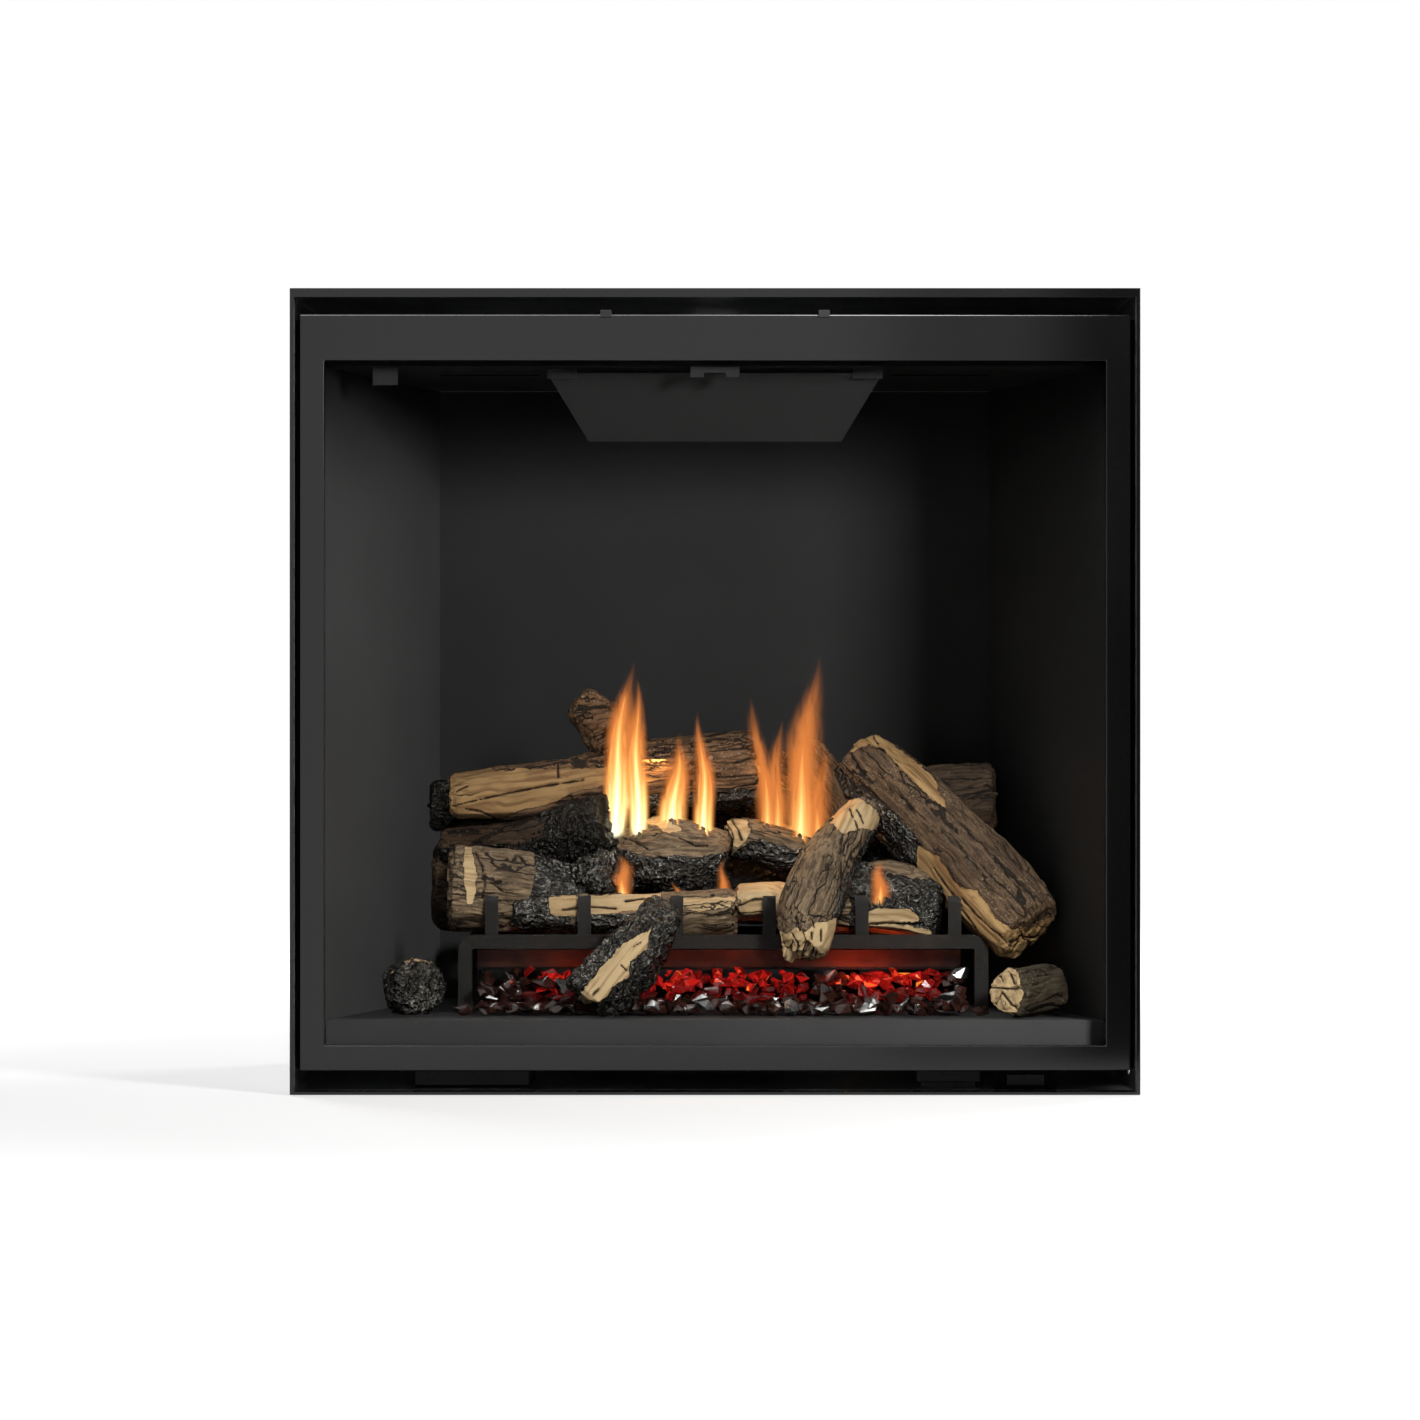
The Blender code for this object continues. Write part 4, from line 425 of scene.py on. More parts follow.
def woven_effect():
    """Twisted yarns that cross at an angle, as in a flat gasket tape."""
    tree, given, ends = effect("woven_tape", colour=FIBRE, yarns=520.0)
    warp, weft = (
        add(tree, "TexWave", {
            "Vector": add(tree, "Mapping", {"Vector": own_place(tree), "Rotation": (0, turn, 0)}).outputs[0],
            "Scale": given["yarns"], "Distortion": 1.5,
        }).outputs["Fac"] for turn in (0.8, -0.8)
    )
    weave = calc(tree, "MAXIMUM", warp, weft)
    shade = mixed(tree, weave, (0.25, 0.24, 0.22, 1), given["colour"])
    put_out(tree, ends, shade, calc(tree, "SUBTRACT", 1.0, times(tree, weave, 0.1)), weave)
    return tree


finish(pane_material(), "glass_pane")
finish(material("gasket_tape", woven_effect(), {}, {"Sheen Weight": 0.3}, 0.0004), "glass_gasket")
finish(zinc, "glass_retainer")
blackened = material(
    "blackened_spring_steel", powder_coat, {"colour": (0.03, 0.03, 0.032, 1), "roughness": 0.4},
    {"Metallic": 0.5, "Specular IOR Level": 0.1}, 0.00005,
)
for side in ("left", "right"):
    latch = "latch_" + side
    fitted(eased(latch, latch + "_lever", 0.0002), blackened, latch, "casing_steel", latch)


# Firebox
# The walls, ledge and baffle are sheet with matt high-temperature paint, which bakes unevenly. The splayed
# walls get a lighter copy of it, which is painted light, and the box's walls and ceiling darken towards the
# top, which is painted shade. The baffle hangs from a small bracket.

FIREBOX_BLACK = (0.028, 0.028, 0.028, 1)
LIT_WALL_BLACK = (0.044, 0.044, 0.044, 1)
LEDGE_BLACK = (0.062, 0.062, 0.062, 1)
WALL_X, WALL_SPLAY = 0.4221, 0.29


def matt_paint(name, colour, **values):
    """High-temperature paint on plain sheet, with hardly any gloss."""
    values = {"colour": colour, "peel": 1300.0, **values}
    return material(name, powder_coat, values, {"Specular IOR Level": 0.02}, 0.00008)


fire_paint = matt_paint("high_temperature_paint", FIREBOX_BLACK, roughness=0.55, dust=0.03, soot=0.9)
# A lighter copy of the firebox paint: painted light on the splayed walls.
lit_wall_paint = matt_paint("lit_wall_paint", LIT_WALL_BLACK, roughness=0.5, dust=0.02, soot=0.95)
plain_paint = matt_paint("plain_sheet_paint", FIREBOX_BLACK, roughness=0.55, dust=0.03)
ledge_paint = matt_paint("ledge_paint", LEDGE_BLACK, roughness=0.5, dust=0.04)
finish(fire_paint, "firebox_back", "firebox_floor", "firebox_ceiling")
finish(fire_paint, "relief_flap_left", "relief_flap_right")
finish(lit_wall_paint, "firebox_left", "firebox_right")
fitted(eased("baffle", "baffle_folded", 0.0004), plain_paint, "firebox", "firebox_black", "baffle")
ledge = eased("hearth_ledge", "hearth_lip", 0.0006)
low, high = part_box("hearth_ledge")
for corner in ledge.data.vertices:
    if abs(corner.co.x) > high.x - 0.003:
        corner.co.x += math.copysign(WALL_X - WALL_SPLAY * (corner.co.y - low.y) - high.x, corner.co.x)
fitted(ledge, ledge_paint, "firebox", "firebox_black", "hearth_ledge")
finish(plain_paint, "baffle_bracket", "sensor_clip")


# Log grate
# The grate is welded from flat steel bar: a front rail bent down into two legs, cross bars and short
# tines that keep the logs from rolling out. It is painted black, and heat has left it rough.

GRATE_BLACK = (0.02, 0.018, 0.016, 1)


def forged_effect():
    """Bar with mill scale under thin paint: pits, lumps and worn brown spots."""
    tree, given, ends = effect("rough_bar", colour=GRATE_BLACK, worn=(0.05, 0.036, 0.028, 1), grain=160.0)
    pits = mottle(tree, given["grain"], 6.0)
    share = times(tree, stepped(tree, mottle(tree, 28.0, 5.0), 0.52, 0.75), 0.45)
    colour = mixed(tree, share, given["colour"], given["worn"])
    put_out(tree, ends, colour, stepped(tree, pits, 0.3, 0.7, 0.45, 0.75), pits)
    return tree


rough_bar = forged_effect()
grate_paint = material("grate_paint", rough_bar, {}, {"Specular IOR Level": 0.06}, 0.0004)
fitted(eased("log_grate", "welded_grate", 0.0014, 3), grate_paint, "firebox", "grate_black", "log_grate")


# Burner and pilot
# The pressed burner pan is steel that the flame has tinted straw, copper and blue. The pilot stands
# beside it, and the air shutter and orifice of brass sit under the floor.

STRAW = (0.06, 0.017, 0.008, 1)
BLUED = (0.02, 0.007, 0.005, 1)
LIP_BELOW = 0.1275


def tinted_effect():
    """Steel coloured in soft bands by heat, and a painted shadow, black, below this height."""
    tree, given, ends = effect("heat_tint", colour=STRAW, blued=BLUED, bands=16.0, sooty=LIP_BELOW)
    bands = stepped(tree, mottle(tree, given["bands"], 4.0), 0.38, 0.62)
    colour = mixed(tree, bands, given["colour"], given["blued"])
    above = calc(tree, "SUBTRACT", own_height(tree), given["sooty"])
    # Painted shadow: black below the burner's lip.
    colour = mixed(tree, stepped(tree, above, -0.0004, 0.0004), (0.002, 0.0015, 0.0015, 1), colour)
    fine = mottle(tree, 380.0, 4.0)
    put_out(tree, ends, colour, stepped(tree, fine, 0.3, 0.7, 0.38, 0.55), fine)
    return tree


heat_tint = tinted_effect()
tinted = material("heat_tinted_steel", heat_tint, {}, {"Metallic": 0.25, "Specular IOR Level": 0.1}, 0.0001)
finish(tinted, "burner_pan", "pilot_assembly")
brass = material("turned_brass", heat_tint, {
    "colour": (0.56, 0.39, 0.14, 1), "blued": (0.42, 0.26, 0.1, 1), "sooty": -1.0,
}, {"Metallic": 1.0}, 0.00005)
finish(brass, "air_shutter", "gas_manifold", "shutoff_valve")


# Controls and blower
# The gas valve is a die casting with a moulded knob. The module, rocker and knob are black plastic and
# the shut-off lever is red. The blower's sheet housing holds a cast impeller.

casting = material("die_casting", rough_bar, {
    "colour": (0.05, 0.05, 0.052, 1), "worn": (0.03, 0.03, 0.03, 1), "grain": 600.0,
}, {"Metallic": 0.4, "Specular IOR Level": 0.2}, 0.0001)
finish(casting, "gas_valve", "blower_impeller")


def moulded(name, colour, roughness, gloss):
    values = {"colour": colour, "peel": 1800.0, "roughness": roughness}
    return material(name, powder_coat, values, {"Specular IOR Level": gloss}, 0.00004)


black_plastic = moulded("moulded_black", (0.01, 0.01, 0.011, 1), 0.45, 0.2)
finish(black_plastic, "valve_knob", "control_module", "rocker_switch")
finish(moulded("moulded_red", (0.5, 0.02, 0.015, 1), 0.4, 0.5), "shutoff_handle")
finish(zinc, "blower_housing")
# Near-black paint: the switch plate's own black, and painted shade where the plate and bulkhead show in the
# dark gaps.
panel_paint_and_gap_shade = matt_paint(
    "control_panel_and_gap_shade_paint", (0.005, 0.005, 0.005, 1), roughness=0.5, dust=0.02, peel=900.0
)
finish(panel_paint_and_gap_shade, "switch_plate", "bulkhead")


# Cast logs
# The logs are cast from ceramic fibre in moulds taken from real wood, then painted by hand: taupe bark with
# dark cracks, cream split wood, and glossy black char with a silver bloom on its ridges in patches, which is
# partly a painted highlight. Undersides, and logs that stand in shade, carry painted shade.

UP, DOWN, NEAR = (0, 0, 1), (0, 0, -1), (0, -1, 0)
LEFT, RIGHT = (-1, 0, 0), (1, 0, 0)
MILLIMETRE = 0.001
BARK_DEPTH = 0.0018
CRACK_WIDTH = 0.0022
CRACK_DEPTH = 0.0024
CHAR_CELLS = (120, 120, 80)
END_CELLS = (80, 80, 0)
KNOT_RISE, KNOT_SWELL = 0.02, 0.004
LUMPS, KNOBS, FURROWS = (34, 34, 12), (130, 130, 60), (95, 95, 14)
SIDE_BLUR, LENGTH_BLUR = 0.08, 0.02
EDGE_WANDER, EDGE_BLUR = 0.003, 0.0006
FLOOR_TOP = 0.078
FLECK_AND_HIGHLIGHT = (0.34, 0.26, 0.17, 1)
CHAR, CHAR_RIDGE_HIGHLIGHT = (0.036, 0.033, 0.029, 1), (0.15, 0.142, 0.125, 1)
WASH = (0.007, 0.004, 0.002, 1)
PAINTED_LOG_SHADE = (0.007, 0.006, 0.005, 1)


@dataclass
class Cast:
    """How one log is cast and painted. A wood or char place is a direction that the surface looks to, how
    squarely, and the shares of the length that it spans. Split, burnt and cracks are outlines and lines that
    the painter draws on the front, in millimetres across and up."""

    node: str
    bark: str
    voxel: float = 0.0015
    wood: tuple = ()
    char: tuple = ()
    grain: tuple = ()
    knot_above: float = 0.0
    split: tuple = ()
    burnt: tuple = ()
    cracks: tuple = ()
    lumps: float = 1.0
    splinters: float = 1.0
    # painted shade over the whole log, for logs that stand in shade
    soot: float = 0.0
    swell: float = 0.0
    taller: float = 1.0
    fatter: float = 1.0
    shift: tuple = (0, 0, 0)


LOGS = (
    Cast("rear_base_log", "brown", 0.003, char=((UP, -0.2, 0.15, 0.85),), soot=0.8),
    Cast("rear_log", "taupe", 0.0026, char=((DOWN, 0.2, 0.1, 0.8), (LEFT, -2, 0, 0.12)), soot=0.6),
    Cast(
        "front_left_log", "grey", wood=((LEFT, 0.75, 0, 0.2),), char=((UP, -2, 0.62, 1.0),),
        split=(((-281, 262), (-272, 260), (-268, 245), (-265, 225), (-268, 199), (-276, 197), (-279, 225)),),
        burnt=(((-204, 258), (-199, 234), (-206, 203), (-203, 165), (-120, 165), (-120, 268), (-204, 268)),),
        cracks=(
            ((-268, 256), (-259, 240), (-256, 220), (-258, 204)), ((-250, 245), (-240, 238), (-226, 236)),
            ((-248, 222), (-236, 212), (-222, 208)),
        ),
    ),
    Cast("charred_block", "brown", char=((UP, -2, 0, 1.0),), lumps=1.6, swell=0.001),
    Cast(
        "front_split_log", "grey", char=((UP, -2, 0, 0.3), (DOWN, 0.3, 0.2, 0.75)),
        split=(
            ((-186, 206), (-138, 208), (-61, 212), (-58, 196), (-100, 190), (-152, 186), (-182, 184)),
            ((-40, 206), (24, 208), (22, 197), (-16, 190), (-40, 192)),
        ),
        burnt=(
            ((-240, 225), (-186, 225), (-176, 196), (-160, 184), (-155, 150), (-240, 150)),
            ((-155, 185), (-62, 190), (-62, 160), (-155, 150)),
        ),
        cracks=(((-170, 192), (-140, 196), (-110, 194)), ((-100, 202), (-78, 205))),
    ),
    Cast(
        "split_block", "grey", wood=((UP, -0.1, 0, 1.0), (NEAR, 0.3, 0, 1.0)), grain=(1, 0, 0),
        cracks=(((25, 196), (45, 203), (62, 204)), ((30, 186), (50, 188), (62, 186))),
    ),
    Cast(
        "front_right_log", "grey", char=((UP, -2, 0.86, 1.0),), lumps=1.3, taller=1.18,
        split=(
            ((162, 188), (188, 195), (219, 191), (228, 184), (226, 178), (172, 175), (162, 175)),
            ((162, 173), (205, 175), (238, 170), (248, 157), (190, 156), (162, 159)),
        ),
        burnt=(
            ((150, 262), (172, 240), (206, 230), (230, 226), (262, 230), (262, 140), (150, 140)),
        ),
        cracks=(((160, 174), (190, 176), (228, 176)),),
    ),
    Cast(
        "centre_left_log", "grey", char=((DOWN, -0.3, 0, 1.0),), lumps=1.2,
        split=(((-97, 291), (-67, 300), (-37, 281), (-52, 275), (-70, 286)),),
        burnt=((
            (-126, 262), (-106, 257), (-78, 249), (-50, 251), (-20, 249), (28, 257), (28, 160), (-126, 160),
        ),),
        cracks=(((-112, 272), (-90, 266), (-76, 258)), ((-40, 272), (-22, 262), (-8, 262))),
    ),
    Cast("charred_end_log", "brown", char=((UP, -2, 0.62, 1.0), (DOWN, 0.0, 0, 1.0)), lumps=1.2, soot=0.75),
    Cast(
        "centre_right_log", "grey", char=((DOWN, 0.1, 0.2, 1.0),),
        split=(((-6, 288), (15, 298), (36, 290), (41, 276), (29, 259), (11, 262), (-6, 268)),),
        burnt=(((26, 257), (44, 268), (73, 262), (109, 256), (120, 190), (10, 190), (15, 245)),),
        cracks=(((18, 292), (26, 280), (30, 266)), ((10, 288), (18, 278), (20, 268))),
    ),
    Cast(
        "split_log", "brown", swell=0.002, knot_above=0.356,
        wood=((LEFT, 0.8, 0, 0.1),), char=((DOWN, 0.5, 0.5, 1.0),),
        split=((
            (-320, 346), (-262, 347), (-237, 343), (-212, 347), (-175, 348), (-122, 348), (-84, 341),
            (-60, 336), (-84, 331), (-124, 329), (-158, 321), (-180, 311), (-220, 300), (-262, 283),
            (-320, 280),
        ),),
        burnt=(((-84, 318), (-17, 322), (60, 326), (60, 278), (-84, 278)),),
        cracks=(
            ((-296, 305), (-242, 318), (-197, 327), (-149, 335)), ((-281, 302), (-265, 299), (-249, 291)),
            ((-178, 352), (-177, 338)), ((-292, 322), (-280, 328)), ((-30, 342), (10, 338), (48, 340)),
        ),
    ),
    Cast("steep_back_log", "brown", wood=((UP, 0.75, 0.0, 0.3),), char=((DOWN, 0.2, 0, 1.0),)),
    Cast(
        "big_right_log", "taupe", taller=1.045,
        wood=((LEFT, 0.4, 0.9, 1.0), (UP, -2, 0, 0.04)), char=((DOWN, 0.35, 0.12, 0.7),),
        split=((
            (126, 367), (132, 402), (164, 404), (189, 387), (247, 339), (259, 305), (240, 316), (207, 350),
            (192, 370), (176, 376), (154, 366),
        ), (
            (226, 262), (250, 250), (271, 217), (290, 215), (300, 201), (308, 185), (332, 170), (373, 184),
            (400, 190), (396, 150), (338, 120), (290, 128), (262, 176), (226, 230),
        )),
        burnt=((
            (130, 362), (149, 341), (173, 316), (201, 300), (229, 268), (240, 248), (222, 225), (180, 250),
            (140, 300),
        ),),
        cracks=(
            ((273, 204), (287, 187), (304, 171), (328, 152)), ((262, 210), (272, 192), (290, 168)),
            ((322, 152), (340, 162), (356, 160), (380, 176)), ((150, 398), (156, 386), (154, 372)),
            ((338, 170), (344, 158)), ((243, 236), (262, 208)), ((172, 398), (186, 378)),
        ),
    ),
    Cast(
        "crossing_log", "cracked", char=((RIGHT, 0.75, 0.2, 0.92),),
        split=(
            ((128, 289), (140, 310), (158, 322), (176, 306), (192, 292), (186, 278), (164, 282), (145, 277)),
            ((66, 172), (78, 168), (88, 176), (100, 170), (112, 182), (136, 184), (136, 120), (66, 120)),
        ),
        burnt=((
            (177, 290), (200, 292), (196, 260), (166, 214), (142, 170), (126, 178), (136, 215), (156, 248),
            (171, 272),
        ),),
        cracks=(
            ((96, 172), (98, 158), (96, 140)), ((106, 170), (108, 152), (104, 138)), ((84, 166), (90, 150)),
            ((118, 174), (118, 160)), ((150, 306), (158, 290), (162, 280)), ((160, 304), (168, 288)),
            ((88, 186), (92, 172)), ((106, 186), (110, 176)),
        ),
        splinters=2.6,
    ),
    Cast(
        "leaning_log", "grey", char=((UP, -2, 0, 1.0),), lumps=2.0, fatter=1.28, shift=(0.006, 0, -0.003),
        split=((
            (-69, 176), (-74, 152), (-92, 140), (-95, 122), (-112, 112), (-117, 100), (-136, 92), (-146, 84),
            (-152, 82), (-149, 102), (-127, 132), (-99, 160),
        ),),
        burnt=(((-180, 60), (-180, 240), (20, 240), (20, 60)),),
        cracks=(((-102, 136), (-96, 130)), ((-134, 104), (-128, 110)), ((-90, 156), (-80, 160))),
    ),
    Cast(
        "left_chunk", "grey", wood=((UP, 0.93, 0, 1.0),), char=((NEAR, -2, 0, 1.0),), grain=(0.56, -0.83, 0),
        swell=0.003, lumps=1.6,
    ),
    Cast(
        "right_chunk", "in_shade", wood=((LEFT, 0.4, 0, 0.2),), grain=(0.66, 0.75, 0),
        split=((
            (283, 122), (292, 141), (312, 144), (328, 131), (334, 108), (330, 90), (322, 76), (283, 76),
        ),),
        cracks=(
            ((292, 112), (310, 110), (332, 111)), ((302, 136), (312, 118)),
            ((304, 92), (312, 106), (326, 88)), ((318, 130), (322, 116)),
        ),
    ),
)


def ramp(values, start, end):
    """A smooth step from 0 to 1 as each value goes from start to end."""
    share = np.clip((values - start) / (end - start), 0, 1)
    return share * share * (3 - 2 * share)


def rough(points):
    """Noise at each point, about -0.5 to 0.5."""
    return np.fromiter(map(noise.noise, points.tolist()), float, len(points)) * 0.7


def cells(points):
    """The gap to the next cell's border at each point, and the middle of its own cell."""
    gaps, middles = [], []
    for point in points.tolist():
        distances, centres = noise.voronoi(point)
        gaps.append(distances[1] - distances[0])
        middles.append(centres[0])
    return np.array(gaps), np.array(middles)


def place_share(place, normals, shares, wander):
    """How much each point belongs to a painted place, whose edge wanders."""
    direction, least, start, end = place
    squarely = normals @ np.array(direction) + wander * 0.5
    along = shares + wander * 0.1
    inside = ramp(squarely, least - SIDE_BLUR, least + SIDE_BLUR)
    inside *= 1 if start <= 0 else ramp(along, start - LENGTH_BLUR, start + LENGTH_BLUR)
    return inside * (1 if end >= 1 else 1 - ramp(along, end - LENGTH_BLUR, end + LENGTH_BLUR))


def most(count, masks):
    """The largest value that any of these masks has at each point, or 0."""
    return np.maximum.reduce([np.zeros(count), *masks])


def line_gap(start, end, flat):
    """Each point's distance from a straight line between two points."""
    along = end - start
    share = np.clip((flat - start) @ along / (along @ along), 0, 1)
    return np.linalg.norm(flat - start - share[:, None] * along, axis=1)


def drawn(outline, flat, wander):
    """How much each point lies inside a drawn outline, whose edge wanders."""
    corners = np.array(outline, float) * MILLIMETRE
    away = np.full(len(flat), np.inf)
    within = np.zeros(len(flat), bool)
    for start, end in zip(corners, np.roll(corners, -1, axis=0)):
        away = np.minimum(away, line_gap(start, end, flat))
        if start[1] != end[1]:
            crossing = start[0] + (flat[:, 1] - start[1]) * (end[0] - start[0]) / (end[1] - start[1])
            within ^= ((start[1] > flat[:, 1]) != (end[1] > flat[:, 1])) & (flat[:, 0] < crossing)
    return ramp(np.where(within, away, -away) + wander * EDGE_WANDER, -EDGE_BLUR, EDGE_BLUR)


def drawn_crack(line, flat, wander):
    """How deep each point lies in a drawn crack, which narrows to its ends."""
    corners = np.array(line, float) * MILLIMETRE
    width = CRACK_WIDTH * (0.8 + wander)
    return most(len(flat), [1 - ramp(line_gap(*ends, flat), 0, width) for ends in zip(corners, corners[1:])])


def read(mesh, label):
    """The place or the normal of each point of the mesh."""
    values = np.empty(len(mesh.vertices) * 3, np.float32)
    mesh.vertices.foreach_get(label, values)
    return values.reshape(-1, 3).astype(float)


def keep(mesh, **masks):
    """Keeps values for each point in the mesh, for its material to read."""
    for name, values in masks.items():
        values = np.asarray(values, np.float32)
        kind, label = ("FLOAT_VECTOR", "vector") if values.ndim == 2 else ("FLOAT", "value")
        mesh.attributes.new(name, kind, "POINT").data.foreach_set(label, values.ravel())


def kept(tree, name, output="Fac"):
    """The values that keep() has left under this name."""
    return add(tree, "Attribute", attribute_name=name, attribute_type="GEOMETRY").outputs[output]


def cast_log(log):
    """Copies a packed log, wraps it in a fine skin and carves bark, split wood and char into that."""
    obj = copied(log.node, log.node + "_cast")
    modified(obj, "REMESH", mode="VOXEL", voxel_size=log.voxel)
    modified(obj, "SMOOTH", factor=0.5, iterations=6)
    mesh = obj.data
    count = len(mesh.vertices)
    points, normals = read(mesh, "co"), read(mesh, "normal")
    points[:, 2] = points[:, 2].max() + (points[:, 2] - points[:, 2].max()) * log.taller
    points += log.shift
    centre = points.mean(axis=0)
    if log.grain:
        axis = np.array(log.grain, float)
    else:
        axis = np.linalg.svd((points - centre)[::7], full_matrices=False)[2][0]
    axis *= math.copysign(1, axis[0]) / np.linalg.norm(axis)
    spine = ((points - centre) @ axis)[:, None] * axis
    points = centre + spine + (points - centre - spine) * log.fatter
    side = np.cross(axis, UP)
    side /= np.linalg.norm(side)
    grain = (points - centre) @ np.array([side, np.cross(side, axis), axis]).T
    shares = (grain[:, 2] - grain[:, 2].min()) / np.ptp(grain[:, 2])
    wander = rough(points * 90 + centre * 40) + 0.6 * rough(points * 330)
    flat = points[:, ::2]
    front = ramp(-normals[:, 1], -0.3, 0.0)
    masks = []
    for places, outlines in ((log.wood, log.split), (log.char, log.burnt)):
        mask = most(count, [place_share(place, normals, shares, wander) for place in places])
        if log.split or log.burnt:
            drawn_here = most(count, [drawn(outline, flat, wander) for outline in outlines])
            mask = mask * (1 - front) + drawn_here * front
        masks.append(mask)
    wood, char = masks
    crack = most(count, [drawn_crack(line, flat, wander) * front for line in log.cracks])
    swell = log.swell
    if log.knot_above:
        knot = ramp(points[:, 2], log.knot_above, log.knot_above + KNOT_RISE)
        swell = swell + knot * KNOT_SWELL
        wood *= 1 - knot
    char *= 1 - wood
    bark = (1 - wood) * (1 - char)
    moved = grain + rough(grain * 34)[:, None] * 0.006 + centre
    lumps, knobs = rough(moved * LUMPS), rough(moved * KNOBS)
    furrows = ramp(0.08 - np.abs(rough(moved * FURROWS)), 0, 0.08)
    char_lumps = 0.003 * rough(points * 55) + 0.0016 * ramp(cells(moved * CHAR_CELLS)[0], 0.0, 0.35) - 0.0012
    rise = bark * (0.004 * lumps + 0.0022 * knobs - 0.003 * furrows)
    rise += wood * (0.0018 * lumps + 0.001 * knobs - BARK_DEPTH)
    rise += char * log.lumps * char_lumps
    ends = ramp(np.abs(normals @ axis), 0.6, 0.9)
    rise = rise * (1 - ends) + swell - crack * CRACK_DEPTH
    splinter = 0.009 * rough(cells(moved * END_CELLS)[1] * 3.7) - 0.0015
    outward = np.sign(normals @ axis)[:, None] * axis
    carved = points + (normals * rise[:, None] + outward * (ends * log.splinters * splinter)[:, None])
    carved[:, 2] = np.maximum(carved[:, 2], FLOOR_TOP)
    mesh.vertices.foreach_set("co", carved.astype(np.float32).ravel())
    # Painted shade: darker on the undersides, and over the whole of logs that stand in shade.
    soot = np.maximum(log.soot, 0.7 * ramp(-normals[:, 2], 0.2, 0.9) * (1 - ends))
    keep(mesh, grain=moved, wood=wood, char=char, crack=crack, end=ends, soot=soot)
    mesh.shade_smooth()
    return obj


